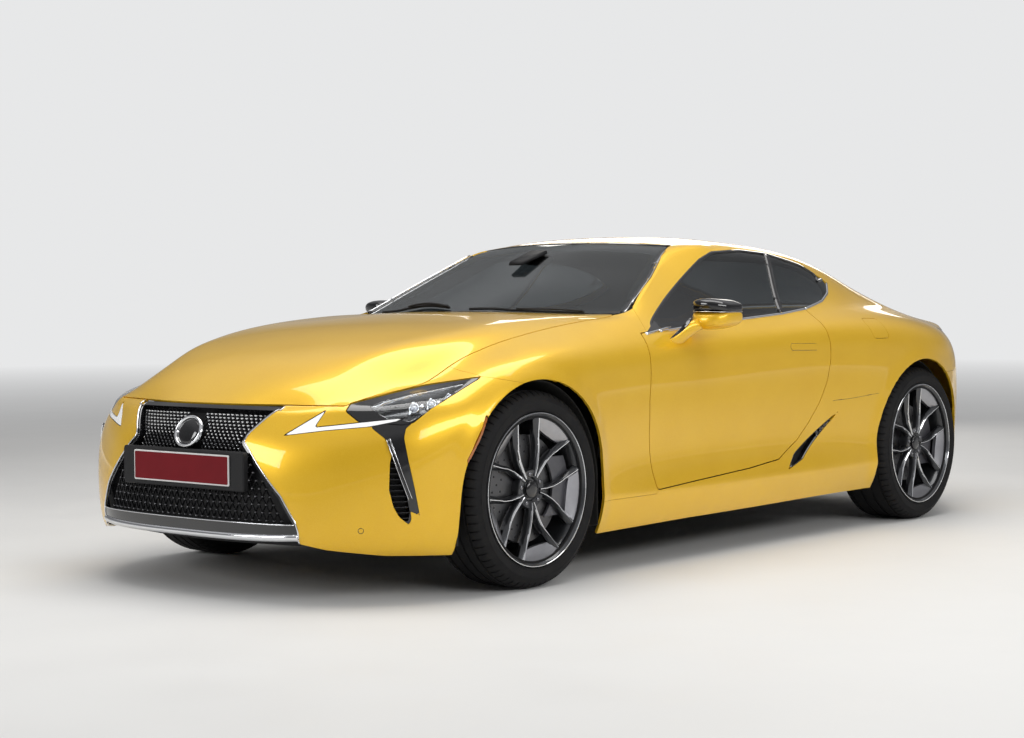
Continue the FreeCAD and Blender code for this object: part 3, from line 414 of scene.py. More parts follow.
def clipped(name, source, cuts, refine=1):
    # the part of a surface that lies inside every cut, with clean edges along them
    points = coordinates(source)
    value = np.max([cut.field(points) for cut in cuts], axis=0)
    loops = np.empty(len(source.loops), int)
    source.loops.foreach_get("vertex_index", loops)
    starts = np.empty(len(source.polygons), int)
    source.polygons.foreach_get("loop_start", starts)
    lowest = np.minimum.reduceat(value[loops], starts)
    keep = np.nonzero(lowest < cutting["kept"])[0]
    bm = bmesh.new()
    made = {}
    for index in keep:
        corners = source.polygons[int(index)].vertices
        verts = []
        for v in corners:
            if v not in made:
                made[v] = bm.verts.new(points[v])
            verts.append(made[v])
        bm.faces.new(verts)
    for _ in range(refine):
        bm.verts.ensure_lookup_table()
        spots = np.array([v.co for v in bm.verts])
        near = np.max([cut.field(spots) for cut in cuts], axis=0)
        bm.verts.index_update()
        edges = [e for e in bm.edges if min(abs(near[v.index]) for v in e.verts) < cutting["band"]
            and e.calc_length() > cutting["shortest"]]
        bmesh.ops.subdivide_edges(bm, edges=edges, cuts=1, use_grid_fill=True)
    for cut in cuts:
        bm.verts.index_update()
        spots = np.array([v.co for v in bm.verts])
        if not len(spots):
            break
        values = cut.field(spots)
        values[np.abs(values) < cutting["onCut"]] = 0.0
        level = dict(zip(list(bm.verts), values))
        for e in [e for e in bm.edges if values[e.verts[0].index] * values[e.verts[1].index] < 0]:
            a, b = e.verts
            va, vb = level[a], level[b]
            _, v = bmesh.utils.edge_split(e, a, va / (va - vb))
            level[v] = 0.0
        for f in list(bm.faces):
            if min(level[v] for v in f.verts) < 0 < max(level[v] for v in f.verts):
                zeros = [v for v in f.verts if level[v] == 0.0]
                if len(zeros) == 2:
                    try:
                        bmesh.utils.face_split(f, zeros[0], zeros[1])
                    except ValueError:
                        pass
                elif len(zeros) > 2:
                    bmesh.ops.connect_verts(bm, verts=zeros)
        gone = [f for f in bm.faces if sum(level[v] for v in f.verts) > 0]
        bmesh.ops.delete(bm, geom=gone, context="FACES")
    bmesh.ops.remove_doubles(bm, verts=bm.verts, dist=cutting["merged"])
    mesh = bpy.data.meshes.new(name)
    bm.to_mesh(mesh)
    bm.free()
    mesh.shade_smooth()
    return mesh


def joined(name, meshes):
    bm = bmesh.new()
    for mesh in meshes:
        bm.from_mesh(mesh)
        bpy.data.meshes.remove(mesh)
    mesh = bpy.data.meshes.new(name)
    bm.to_mesh(mesh)
    bm.free()
    mesh.shade_smooth()
    return mesh


def flippedCopy(mesh, name):
    copy = mesh.copy()
    copy.name = name
    copy.transform(Matrix.Diagonal((1, -1, 1, 1)))
    copy.flip_normals()
    return copy


def pressed(mesh, depth):
    # moves a sheet inwards along its normals
    normals = np.empty(len(mesh.vertices) * 3)
    mesh.vertex_normals.foreach_get("vector", normals)
    moved = coordinates(mesh) - depth * normals.reshape(-1, 3)
    mesh.vertices.foreach_set("co", moved.ravel())
    mesh.update()
    return mesh


def shell(name, mesh, depth=0.011, edge=0.0011):
    # gives a sheet its thickness and a small rounded edge
    obj = link(name, mesh)
    wall = obj.modifiers.new("wall", "SOLIDIFY")
    wall.thickness, wall.offset = depth, -1
    wall.use_even_offset, wall.use_quality_normals = False, True
    if edge:
        bevel = obj.modifiers.new("edge", "BEVEL")
        bevel.width, bevel.segments = edge, 2
        bevel.limit_method, bevel.angle_limit = "ANGLE", math.radians(50)
        bevel.use_clamp_overlap, bevel.harden_normals = True, True
    settle(obj)
    return obj


gaps = {"shut": 0.0042, "fixed": 0.0012, "glass": 0.006}
arch = {"front": (1.465, 0.3645, 0.405), "rear": (-1.405, 0.363, 0.405), "flare": 0.009,
    "flareWidth": 0.055}


def archLine(which, side=1, grow=0.0):
    x, z, r = arch[which]
    ring = [(x + r * math.cos(a), z + r * math.sin(a)) for a in np.radians(np.linspace(0, 180, 61))]
    return Outline("xz", [(x + r, 0.0)] + ring + [(x - r, 0.0)], 0, side, grow)


def flareArches():
    points = coordinates(skin.data)
    for which in ("front", "rear"):
        x, z, r = arch[which]
        away = np.hypot(points[:, 0] - x, np.maximum(points[:, 2] - z, 0))
        away = np.where(points[:, 2] < z, np.abs(points[:, 0] - x), away) - r
        t = np.clip(1 - np.abs(away) / arch["flareWidth"], 0, 1)
        low = np.clip((points[:, 2] - 0.14) / 0.10, 0, 1)
        t = t * t * (3 - 2 * t) * (np.abs(points[:, 1]) > 0.72) * low
        points[:, 1] += np.sign(points[:, 1]) * t * arch["flare"]
    skin.data.vertices.foreach_set("co", points.ravel())
    skin.data.update()


def easeEnds():
    # nose, tail and roof end inside the solids' reach
    points = coordinates(skin.data)
    nose, tail, top = (np.clip((value - start) / reach, 0, None)
        for value, start, reach in ((points[:, 0], 2.15, .235), (-points[:, 0], 2.15, .235),
        (points[:, 2], 1.20, .148)))
    points[:, 0] += .009 * tail ** 2 - .0195 * nose ** 2
    points[:, 2] -= .0056 * top ** 2
    skin.data.vertices.foreach_set("co", points.ravel())
    skin.data.update()


flareArches()
easeEnds()
line = {
    "door": Outline("xz", [(.706, .925), (.724, .800), (.741, .661), (.733, .52), (.700, .302, .02),
        (.402, .320), (.021, .341), (-.215, .363, .06), (-.373, .436), (-.455, .505), (-.535, .595),
        (-.59, .69), (-.617, .782), (-.624, .85), (-.620, .92), (-.606, 1.012), (-.404, .9935),
        (-.102, .9755), (.266, .952), (.55, .929)], .006, 1),
    "bonnet": Outline("xy", wholeOutline([(2.40, 0), (2.40, .389), (2.30, .55), (2.138, .611),
        (1.932, .682), (1.832, .704), (1.703, .718), (1.566, .740), (1.35, .752), (1.096, .746),
        (.85, .735), (.715, .728, .03), (.81, .50), (.880, .28), (.925, .10), (.932, 0)]), .012),
    "lamp": Outline("corner", [(1.077, .676), (1.06, .70), (1.025, .709), (.915, .7335), (.797, .757),
        (.588, .787, .003), (.692, .730), (.783, .681), (.845, .635), (.88, .628), (1.034, .641)], .008, 1),
    "drl": Outline("corner", [(1.298, .590, .002), (1.143, .681, .002), (1.185, .621), (1.025, .6385),
        (.88, .6525), (.856, .662, .002), (.90, .640), (.993, .623), (1.15, .609)], .004, 1),
    "trim": Outline("corner", [(.993, .623), (.945, .585), (.915, .54), (.926, .50), (.930, .405),
        (.915, .345), (.895, .31), (.861, .281, .004), (.854, .30), (.857, .331, .003), (.824, .312, .003),
        (.841, .405), (.863, .508), (.877, .584), (.870, .617), (.845, .635), (.88, .642)], .006, 1),
    "grille": Outline("yz", wholeOutline([(0, .6915), (.19, .6915), (.389, .690, .003), (.304, .590),
        (.296, .567), (.333, .533), (.473, .382), (.522, .295), (.530, .262), (.530, .12)], 0), .012),
    "fender": Outline("xz", [(.70, .287), (.66, .93), (.612, 1.02), (1.2, 1.3), (1.72, 1.3), (1.708, .7865),
        (1.66, .777), (1.568, .760), (1.40, .72), (1.3, .287)], 0, 1),
    "sideWindow": Outline("xz", [(.672, .9215), (.266, .953), (-.102, .977), (-.392, .994, .004),
        (-.527, 1.2625, .004), (-.333, 1.274), (-.113, 1.260), (-.01, 1.226), (.095, 1.179), (.40, 1.045)],
        .02, 1),
    "quarterWindow": Outline("xz", [(-.409, .9955, .004), (-.604, 1.0125), (-.815, 1.047), (-.935, 1.082),
        (-1.004, 1.130), (-.995, 1.147), (-.822, 1.213), (-.544, 1.262, .004)], .015, 1),
    "screen": Outline("yz", wholeOutline([(0, 1.3125), (.30, 1.306), (.532, 1.290, .03), (.630, 1.150),
        (.727, 1.017, .01), (.71, .90)], 0), .01),
    "rearScreen": Outline("xy", wholeOutline([(-.985, 0), (-1.0, .25), (-1.04, .44, .05), (-1.45, .465),
        (-1.820, .42, .04), (-1.823, 0)]), .01),
    "roof": Outline("xy", wholeOutline([(.30, 0), (.30, .20), (.09, .535, .02), (-.15, .565), (-.60, .560),
        (-1.05, .50, .03), (-1.08, .30), (-1.09, 0)]), .01),
    "boot": Outline("xy", wholeOutline([(-1.855, 0), (-1.855, .48, .04), (-2.10, .565), (-2.5, .565)]),
        .01),
    "lidRoom": Outline("xy", [(-1.820, -.492), (-1.820, .492), (-1.875, .492), (-1.875, -.492)], .003),
    "tailLamp": Outline("xz", [(-1.872, .908, .003), (-2.6, .866), (-2.6, .776), (-2.19, .782),
        (-2.05, .848)], .008),
    "rearBumper": Outline("xz", [(-1.60, .05), (-1.60, .698), (-1.83, .700), (-2.12, .757), (-2.7, .757),
        (-2.7, .05)], 0),
    "fuelFlap": Outline("xz", [(-.965, .965, .02), (-1.10, .962, .02), (-1.12, .872, .02),
        (-.985, .872, .02)], .02, 1),
    "slot": Outline("xz", [(-.70, .556, .002), (-.640, .513), (-.40, .352), (-.262, .312, .002),
        (-.34, .38), (-.58, .50)], .01, 1),
    "bumperFoot": Outline("corner", [(2.2, 1.2), (-2.2, 1.2), (-2.2, .158), (.60, .158), (.95, .172),
        (1.15, .196), (1.25, .2185), (2.2, .2185)], 0),
    "marker": Outline("xz", [(1.765, .655, .003), (1.80, .583), (1.858, .492, .003), (1.847, .486, .003),
        (1.79, .575), (1.754, .650, .003)], .003, 1),
    "handle": Outline("xz", [(-.318, .862, .01), (-.525, .858, .01), (-.517, .828, .01), (-.31, .832, .01)],
        .01, 1),
}
line["bonnet"] = Both([line["bonnet"], Plane((0, 0, -1), -0.6925)])
line["screen"] = Both([line["screen"], Plane((-1, 0, 0), 0.03)])

surface = skin.data


def bodyPanel(name, cuts, sides=True, refine=1, **shape):
    mesh = clipped(name, surface, cuts, refine)
    if sides:
        mesh = joined(name, [mesh, flippedCopy(mesh, name + "Right")])
    return shell(name, mesh, **shape)


line["glassFoot"] = Outline("xy", wholeOutline([(.906, 0), (.886, .19), (.802, .40), (.664, .712),
    (.60, .82), (-3, .82)]), .01)
line["cowl"] = Outline("xy", wholeOutline([(1.0, 0), (.96, .28), (.86, .52), (.72, .729, .004),
    (.60, .73)]), .01)
leftHalf, high = Plane((0, -1, 0), 0.0), Plane((0, 0, -1), -0.9)
ahead, behind = Plane((-1, 0, 0), -1.2), Plane((1, 0, 0), 1.2)


def beyond(name, gap, both=False):
    cut = line[name].grown(gap * 0.5, outside=True)
    return [cut, cut.other()] if both else [cut]


def within(name, gap=0.0):
    return [line[name].grown(-gap * 0.5)]


def outsideArch(which, both=False):
    cut = archLine(which)
    cut.outside = True
    return [cut, cut.other()] if both else [cut]


shut, fixed = gaps["shut"], gaps["fixed"]
panels = {}
panels["bonnet"] = bodyPanel("bonnetPanel", within("bonnet", shut) + [Plane((-1, 0, 0), -0.6)]
    + beyond("lamp", .006, True), False)
fenderCuts = (within("fender", fixed) + beyond("bonnet", shut) + beyond("lamp", .004)
    + beyond("door", shut) + beyond("marker", .001) + outsideArch("front") + beyond("cowl", .002)
    + beyond("screen", .006))
panels["fenders"] = bodyPanel("fenderPanels", fenderCuts)
bumperCuts = ([ahead] + within("bumperFoot") + beyond("fender", fixed, True) + beyond("bonnet", shut)
    + beyond("grille", .0) + beyond("lamp", .004, True) + beyond("drl", .002, True)
    + beyond("trim", .0015, True) + beyond("marker", .001, True) + outsideArch("front", True))
panels["front_bumper"] = bodyPanel("frontBumperPanel", bumperCuts, False)
doorSkin = clipped("doorLeftPanel", surface, within("door", shut))
doorRight = flippedCopy(doorSkin, "doorRightPanel")
panels["door_left"] = shell("doorLeftPanel", doorSkin)
panels["door_right"] = shell("doorRightPanel", doorRight)
sideCuts = ([leftHalf, behind] + beyond("fender", fixed) + beyond("door", shut) + outsideArch("front")
    + outsideArch("rear") + beyond("bonnet", shut) + beyond("sideWindow", .004)
    + beyond("quarterWindow", .004) + beyond("boot", shut) + beyond("rearScreen", .006)
    + beyond("tailLamp", .003) + beyond("rearBumper", fixed) + beyond("roof", .003)
    + beyond("screen", .006) + beyond("slot", .001) + beyond("cowl", .002) + beyond("lidRoom", 0))
sideLeft = clipped("bodySidePanels", surface, sideCuts + beyond("fuelFlap", .003))
sideRight = flippedCopy(clipped("bodySideRight", surface, sideCuts), "bodySideRight2")
panels["body_sides"] = shell("bodySidePanels", joined("bodySidePanels", [sideLeft, sideRight]))
panels["fuelFlap"] = bodyPanel("fuelFlap", within("fuelFlap", .001), False, edge=0.0006)
panels["roof_panel"] = bodyPanel("roofPanel", within("roof", .001) + beyond("screen", .006)
    + beyond("rearScreen", .006) + [high], False)
panels["boot_lid"] = bodyPanel("bootLidPanel", within("boot", shut) + beyond("rearBumper", shut)
    + [Plane((1, 0, 0), -1.8)], False)
panels["rear_bumper"] = bodyPanel("rearBumperPanel", within("rearBumper", fixed)
    + outsideArch("rear", True) + [Plane((1, 0, 0), -1.5)], False)
print("panels:", {name: len(piece.data.polygons) for name, piece in panels.items()})


# Glass: sheets a little under the skin; the windscreen and the rear screen get a dark printed border behind
# them with the window trims
pane = {"depth": .0045, "edge": .0006}
windscreenCuts = within("screen", .003) + within("glassFoot", .0) + [Plane((-1, 0, 0), -0.03)]
panels["windscreen"] = shell("windscreenGlass",
    pressed(clipped("windscreenGlass", surface, windscreenCuts), .003), **pane)
rearScreenCuts = within("rearScreen", .003) + [high, Plane((1, 0, 0), -0.9)]
panels["rear_screen"] = shell("rearScreenGlass",
    pressed(clipped("rearScreenGlass", surface, rearScreenCuts), .003), **pane)
doorGlass = pressed(clipped("doorGlassLeft", surface, within("sideWindow", -.004)), .004)
doorGlassRight = flippedCopy(doorGlass, "doorGlassRight")
panels["door_glass_left"] = shell("doorGlassLeft", doorGlass, **pane)
panels["door_glass_right"] = shell("doorGlassRight", doorGlassRight, **pane)
quarter = pressed(clipped("quarterGlass", surface, within("quarterWindow", .001)), .003)
quarter = joined("quarterGlass", [quarter, flippedCopy(quarter, "quarterRight")])
panels["quarter_glass"] = shell("quarterGlass", quarter, **pane)
cowlCuts = within("cowl") + beyond("bonnet", .010) + beyond("glassFoot", .002) + beyond("fender", .001,
    True)
panels["cowl"] = bodyPanel("cowlPanel", cowlCuts, False, edge=.0006)
print("glass done")


# Shader maths as plain expressions, and one method for every other node
class Wire:
    def __init__(self, finish, socket):
        self.finish, self.socket = finish, socket

    def __add__(self, other):
        return self.finish.maths("ADD", self, other)

    def __sub__(self, other):
        return self.finish.maths("SUBTRACT", self, other)

    def __rsub__(self, other):
        return self.finish.maths("SUBTRACT", other, self)

    def __mul__(self, other):
        return self.finish.maths("MULTIPLY", self, other)

    def __truediv__(self, other):
        return self.finish.maths("DIVIDE", self, other)

    __radd__, __rmul__ = __add__, __mul__


socketNames = {
    "color": "Base Color", "rough": "Roughness", "metal": "Metallic", "coat": "Coat Weight",
    "coatRough": "Coat Roughness", "coatIor": "Coat IOR", "normal": "Normal", "ior": "IOR",
    "through": "Transmission Weight", "glow": "Emission Color", "glowStrength": "Emission Strength",
    "sheen": "Sheen Weight", "specular": "Specular IOR Level",
}


class Finish:
    def __init__(self, name, **surfaceValues):
        self.material = bpy.data.materials.new(name)
        self.material.use_nodes = True
        self.tree = self.material.node_tree
        self.surface = self.tree.nodes["Principled BSDF"]
        self.set(**surfaceValues)

    def set(self, **values):
        for key, value in values.items():
            self.plug(self.surface.inputs[socketNames[key]], value)

    def plug(self, socket, value):
        if isinstance(value, Wire):
            self.tree.links.new(value.socket, socket)
        elif isinstance(value, (tuple, list)) and len(value) == 3 and len(socket.default_value) == 4:
            socket.default_value = (*value, 1.0)
        else:
            socket.default_value = value

    def node(self, kind, settings=None, output=0, **inputs):
        node = self.tree.nodes.new("ShaderNode" + kind)
        for key, value in (settings or {}).items():
            setattr(node, key, value)
        for key, value in inputs.items():
            if value is None:
                continue
            socket = next(s for s in node.inputs if s.identifier == key or s.name == key.replace("_", " "))
            self.plug(socket, value)
        return Wire(self, node.outputs[output])

    def maths(self, operation, a, b=0.0):
        node = self.tree.nodes.new("ShaderNodeMath")
        node.operation = operation
        self.plug(node.inputs[0], a)
        self.plug(node.inputs[1], b)
        return Wire(self, node.outputs[0])

    def place(self):
        return self.node("TexCoord", output=3)

    def noise(self, scale, detail=3.0, where=None, rough=0.5):
        return self.node("TexNoise", Vector=where or self.place(), Scale=scale, Detail=detail,
            Roughness=rough)

    def cells(self, scale, where=None, feature="F1", output=0):
        return self.node("TexVoronoi", {"feature": feature}, output=output, Vector=where or self.place(),
            Scale=scale)

    def between(self, amount, a, b):
        return self.node("Mix", {"data_type": "RGBA"}, output=2, Factor_Float=amount, A_Color=(*a, 1.0)
            if isinstance(a, tuple) else a, B_Color=(*b, 1.0) if isinstance(b, tuple) else b)

    def span(self, value, low, high, to=(0.0, 1.0)):
        return self.node("MapRange", {"clamp": True}, Value=value, From_Min=low, From_Max=high,
            To_Min=to[0], To_Max=to[1])

    def bump(self, height, strength=0.3, distance=0.0005, onto=None):
        return self.node("Bump", Strength=strength, Distance=distance, Height=height, Normal=onto)


paint = {"warm": (0.80, 0.475, 0.018), "deep": (0.775, 0.45, 0.015), "pearl": (0.95, 0.66, 0.06),
    "flakeScale": 900.0, "peelScale": 55.0}


def mottled(name, shades, rough, grain=(30.0, 3.0), roughGrain=(90.0, 3.0), **values):
    # two shades and two roughnesses, each mixed by a noise of its own scale and detail
    m = Finish(name, **values)
    m.set(color=m.between(m.noise(*grain), *shades), rough=m.span(m.noise(*roughGrain), 0.3, 0.7, rough))
    return m


def grainy(name, shades, rough, grain, bump=None, **values):
    # one noise for shade and roughness and, where asked for, the relief
    m = Finish(name, **values)
    noise = m.noise(*grain)
    m.set(color=m.between(noise, *shades), rough=m.span(noise, 0.3, 0.7, rough))
    if bump:
        m.set(normal=m.bump(noise, *bump))
    return m


def makeFinishes():
    f = {
        "chrome": mottled("chrome", ((0.80, 0.81, 0.83), (0.72, 0.73, 0.75)), (0.05, 0.11), (25.0, 3.0),
            (60.0, 3.0), metal=1.0),
        "darkChrome": mottled("darkChrome", ((0.22, 0.22, 0.235), (0.16, 0.16, 0.17)), (0.12, 0.2),
            (25.0, 3.0), (60.0, 3.0), metal=1.0),
        "rimGrey": mottled("rimGrey", ((0.030, 0.032, 0.036), (0.055, 0.057, 0.062)), (0.28, 0.4),
            (400.0, 1.0), (40.0, 3.0), metal=0.75, coat=0.8, coatRough=0.06),
        "caliper": mottled("caliperGrey", ((0.10, 0.10, 0.11), (0.07, 0.07, 0.08)), (0.35, 0.5), coat=0.5,
            coatRough=0.1, metal=0.4),
        "silver": mottled("silverTrim", ((0.42, 0.42, 0.44), (0.34, 0.34, 0.36)), (0.28, 0.38), (40.0, 3.0),
            (200.0, 1.0), metal=0.9),
        "dial": mottled("dialFace", ((0.004, 0.005, 0.007), (0.01, 0.012, 0.016)), (0.1, 0.16), (50.0, 3.0),
            (70.0, 3.0), glow=(0.1, 0.16, 0.24), glowStrength=0.25),
        "light": mottled("whiteLight", ((0.78, 0.79, 0.80), (0.86, 0.87, 0.88)), (0.16, 0.24), (50.0, 3.0),
            glow=(1.0, 1.0, 0.98), glowStrength=0.22, coat=1.0, coatRough=0.04),
        "eye": mottled("lampEye", ((0.30, 0.32, 0.36), (0.62, 0.65, 0.70)), (0.03, 0.10), (120.0, 1.0),
            (60.0, 3.0), coat=1.0, coatRough=0.01, metal=0.6),
        "plateRed": mottled("plateRed", ((0.13, 0.003, 0.007), (0.17, 0.005, 0.010)), (0.3, 0.42),
            (20.0, 3.0), specular=0.15),
        "plateRim": mottled("plateRim", ((0.62, 0.61, 0.60), (0.70, 0.69, 0.68)), (0.35, 0.5), (20.0, 3.0)),
        "mesh": mottled("meshGrid", ((0.014, 0.014, 0.016), (0.024, 0.024, 0.027)), (0.22, 0.34), metal=0.6,
            coat=0.5, coatRough=0.08),
        "disc": grainy("discSteel", ((0.17, 0.17, 0.175), (0.10, 0.10, 0.105)), (0.28, 0.42), (420.0, 2.0),
            metal=1.0),
        "cast": grainy("castMetal", ((0.11, 0.11, 0.115), (0.055, 0.053, 0.052)), (0.5, 0.7), (120.0, 4.0),
            (0.4, 0.0008), metal=0.85),
        "under": grainy("underbody", ((0.013, 0.013, 0.013), (0.03, 0.029, 0.027)), (0.7, 0.9),
            (180.0, 5.0), (0.5, 0.001), specular=0.3),
        "carpet": grainy("carpet", ((0.010, 0.010, 0.010), (0.026, 0.025, 0.024)), (0.85, 1.0),
            (1500.0, 2.0), (0.7, 0.001), sheen=0.4),
    }
    m = Finish("bodyPaint", metal=0.40, rough=0.34, coat=0.85, coatRough=0.02, specular=0.25, coatIor=1.45)
    flake = m.cells(paint["flakeScale"], output=1)
    cloud = m.noise(6.0, 2.0)
    grain = m.node("SeparateColor", output=0, Color=flake)
    base = m.between(m.span(cloud, 0.3, 0.7), paint["warm"], paint["deep"])
    m.set(color=m.between(m.span(grain, 0.55, 1.0, (0.0, 0.35)), base, paint["pearl"]),
        rough=m.span(grain, 0.0, 1.0, (0.30, 0.40)),
        normal=m.bump(m.noise(paint["peelScale"], 1.0), 0.04, 0.0004))
    f["paint"] = m

    m = Finish("glossBlack", color=(0.006, 0.006, 0.007), coat=0.6, coatRough=0.03)
    m.set(rough=m.span(m.noise(30.0), 0.3, 0.7, (0.05, 0.12)))
    f["gloss"] = m

    m = Finish("grainedPlastic", specular=0.22)
    cells = m.cells(900.0)
    m.set(color=m.between(m.noise(14.0), (0.010, 0.010, 0.011), (0.018, 0.018, 0.019)),
        rough=m.span(cells, 0.0, 1.0, (0.42, 0.6)), normal=m.bump(cells, 0.35, 0.0004))
    f["plastic"] = m

    m = Finish("tyreRubber", specular=0.18)
    dust = m.noise(35.0, 5.0)
    m.set(color=m.between(m.span(dust, 0.35, 0.75), (0.007, 0.007, 0.008), (0.016, 0.0155, 0.015)),
        rough=m.span(dust, 0.3, 0.7, (0.62, 0.8)), normal=m.bump(m.noise(800.0, 2.0), 0.25, 0.0004))
    f["tyre"] = m

    m = Finish("leatherDark", sheen=0.15)
    pebble = m.cells(650.0)
    fold = m.noise(22.0, 4.0)
    m.set(color=m.between(fold, (0.020, 0.018, 0.017), (0.034, 0.031, 0.029)),
        rough=m.span(pebble, 0.0, 1.0, (0.46, 0.62)),
        normal=m.bump(pebble, 0.5, 0.0005, m.bump(fold, 0.2, 0.002)))
    f["leather"] = m

    m = Finish("stitchThread", sheen=0.3)
    m.set(color=m.between(m.noise(300.0), (0.35, 0.33, 0.30), (0.5, 0.48, 0.44)), rough=0.7)
    f["stitch"] = m

    m = Finish("softDash", specular=0.35)
    pebble = m.cells(1100.0)
    m.set(color=m.between(m.noise(8.0), (0.014, 0.014, 0.015), (0.022, 0.022, 0.023)),
        rough=m.span(pebble, 0.0, 1.0, (0.5, 0.68)), normal=m.bump(pebble, 0.3, 0.0003))
    f["dash"] = m

    m = Finish("clearGlass", through=1.0, ior=1.45, specular=0.5)
    m.set(color=(0.24, 0.265, 0.27), rough=m.span(m.noise(9.0), 0.3, 0.7, (0.0, 0.012)))
    f["glass"] = m

    m = Finish("sideGlass", through=1.0, ior=1.45, specular=0.5)
    m.set(color=(0.115, 0.130, 0.140), rough=m.span(m.noise(9.0), 0.3, 0.7, (0.0, 0.012)))
    f["sideGlass"] = m

    m = Finish("lampLens", through=1.0, ior=1.35, specular=0.5, color=(0.93, 0.95, 0.97))
    m.set(rough=m.span(m.noise(12.0), 0.3, 0.7, (0.0, 0.01)))
    f["lens"] = m

    m = Finish("redLens", coat=1.0, coatRough=0.03, glow=(0.5, 0.01, 0.01), glowStrength=0.12)
    ribs = m.node("TexWave", {"wave_type": "BANDS", "bands_direction": "Z"}, Vector=m.place(), Scale=60.0)
    m.set(color=m.between(ribs, (0.20, 0.004, 0.006), (0.42, 0.010, 0.012)),
        rough=m.span(ribs, 0.0, 1.0, (0.12, 0.22)))
    f["red"] = m

    m = Finish("amberLens", coat=1.0, coatRough=0.03, glow=(1.0, 0.32, 0.02), glowStrength=0.10)
    m.set(color=m.between(m.node("TexWave", {"bands_direction": "Z"}, Vector=m.place(), Scale=70.0),
        (0.16, 0.035, 0.003), (0.38, 0.11, 0.008)), rough=m.span(m.noise(90.0), 0.3, 0.7, (0.15, 0.22)))
    f["amber"] = m

    return f


finishes = makeFinishes()
print("finishes:", len(finishes))


def wear(obj, key):
    obj.data.materials.clear()
    obj.data.materials.append(finishes[key].material)
    return obj


def dress(piece, key, body, nodes):
    wear(piece, key)
    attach(piece, body)
    if nodes:
        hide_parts(*nodes)
    return piece


dress(panels["bonnet"], "paint", "bonnet", ["bonnet"])
dress(panels["fenders"], "paint", "root", ["fenders"])
dress(panels["front_bumper"], "paint", "root", ["front_bumper"])
dress(panels["door_left"], "paint", "door_l", ["door_left"])
dress(panels["door_right"], "paint", "door_r", ["door_right"])
dress(panels["body_sides"], "paint", "root", ["body_sides", "roof_rails"])
dress(panels["fuelFlap"], "paint", "root", [])
dress(panels["roof_panel"], "paint", "root", ["roof_panel"])
dress(panels["boot_lid"], "paint", "boot_lid", ["boot_lid"])
dress(panels["rear_bumper"], "paint", "root", ["rear_bumper"])
dress(panels["windscreen"], "glass", "root", ["windscreen"])
dress(panels["rear_screen"], "glass", "root", ["rear_screen"])
dress(panels["quarter_glass"], "sideGlass", "root", ["quarter_glass"])
dress(panels["door_glass_left"], "sideGlass", "door_l", ["door_glass_left"])
dress(panels["door_glass_right"], "sideGlass", "door_r", ["door_glass_right"])
dress(panels["cowl"], "plastic", "root", ["cowl"])


# Where a flat view's point meets the skin
skinTree = BVHTree.FromPolygons([tuple(p) for p in coordinates(surface)],
    [tuple(p.vertices) for p in surface.polygons])


def onSkin(plane, across, up, side=1):
    half = math.sqrt(0.5)
    start, way = {"yz": ((5, across, up), (-1, 0, 0)), "rear": ((-5, across, up), (1, 0, 0)),
        "xz": ((across, 5 * side, up), (0, -side, 0)), "xy": ((across, up, 4), (0, 0, -1)),
        "corner": (((across + 5) * half, (5 - across) * half, up), (-half, -half, 0)),}[plane]
    spot, normal, _, _ = skinTree.ray_cast(Vector(start), Vector(way))
    if spot is None:
        # off the skin, the nearest place on it to a point about where the ray would have met it
        spot, normal, _, _ = skinTree.find_nearest(Vector(start) + Vector(way) * 4.1)
    return spot, normal


def skinPath(plane, corners, radius=0.01, step=0.012, closed=False, side=1):
    # an outline of a flat view, resampled evenly and laid on the skin
    ring = [tuple(c[:2]) for c in corners] if not radius else [tuple(c) for c in filleted(corners, radius)]
    if closed:
        ring = ring + [ring[0]]
    elif radius:
        # filleting treats the list as closed, so the two ends are put back
        first, last = tuple(corners[0][:2]), tuple(corners[-1][:2])
        ring = [first] + [p for p in ring if min(math.dist(p, first),
            math.dist(p, last)) > radius * 1.5] + [last]
    flat = np.array(ring)
    reach = np.concatenate([[0], np.cumsum(np.linalg.norm(np.diff(flat, axis=0), axis=1))])
    count = max(2, int(round(reach[-1] / step)))
    at = np.linspace(0, reach[-1], count + 1)
    flat = np.column_stack([np.interp(at, reach, flat[:, k]) for k in (0, 1)])
    return [onSkin(plane, a, b, side) for a, b in (flat[:-1] if closed else flat)]


def solid(name, points, faces, smooth=True):
    mesh = meshFrom(name, points, faces, smooth)
    bm = bmesh.new()
    bm.from_mesh(mesh)
    bmesh.ops.recalc_face_normals(bm, faces=bm.faces)
    bm.to_mesh(mesh)
    bm.free()
    return mesh


def ringFaces(count, turns, closed=False, ends=True):
    # the quads between rings of equally many points, and the two ends of rings that don't close on themselves
    faces = []
    for k in range(count if closed else count - 1):
        a, b = k * turns, (k + 1) % count * turns
        faces += [(a + j, a + (j + 1) % turns, b + (j + 1) % turns, b + j) for j in range(turns)]
    if ends and not closed:
        faces += [tuple(range(turns)), tuple(range((count - 1) * turns, count * turns))]
    return faces


def stripSection(foot, top, low, high):
    # half-widths below and above, then the two heights
    return [(-foot, low), (-top, high), (top, high), (foot, low)]


def swept(name, spots, section, closed=False, lift=0.0):
    # carries a section (across, outwards) along spots of place and normal
    places = [Vector(p) + Vector(n) * lift for p, n in spots]
    count, turns = len(places), len(section)
    points = []
    for k, (p, (_, n)) in enumerate(zip(places, spots)):
        after = places[(k + 1) % count] if closed or k + 1 < count else p
        before = places[k - 1] if closed or k else p
        side = Vector(n).cross(after - before).normalized()
        out = (after - before).normalized().cross(side) * -1
        out = out if out.dot(Vector(n)) > 0 else -out
        points += [p + side * a + out * b for a, b in section]
    return solid(name, points, ringFaces(count, turns, closed))


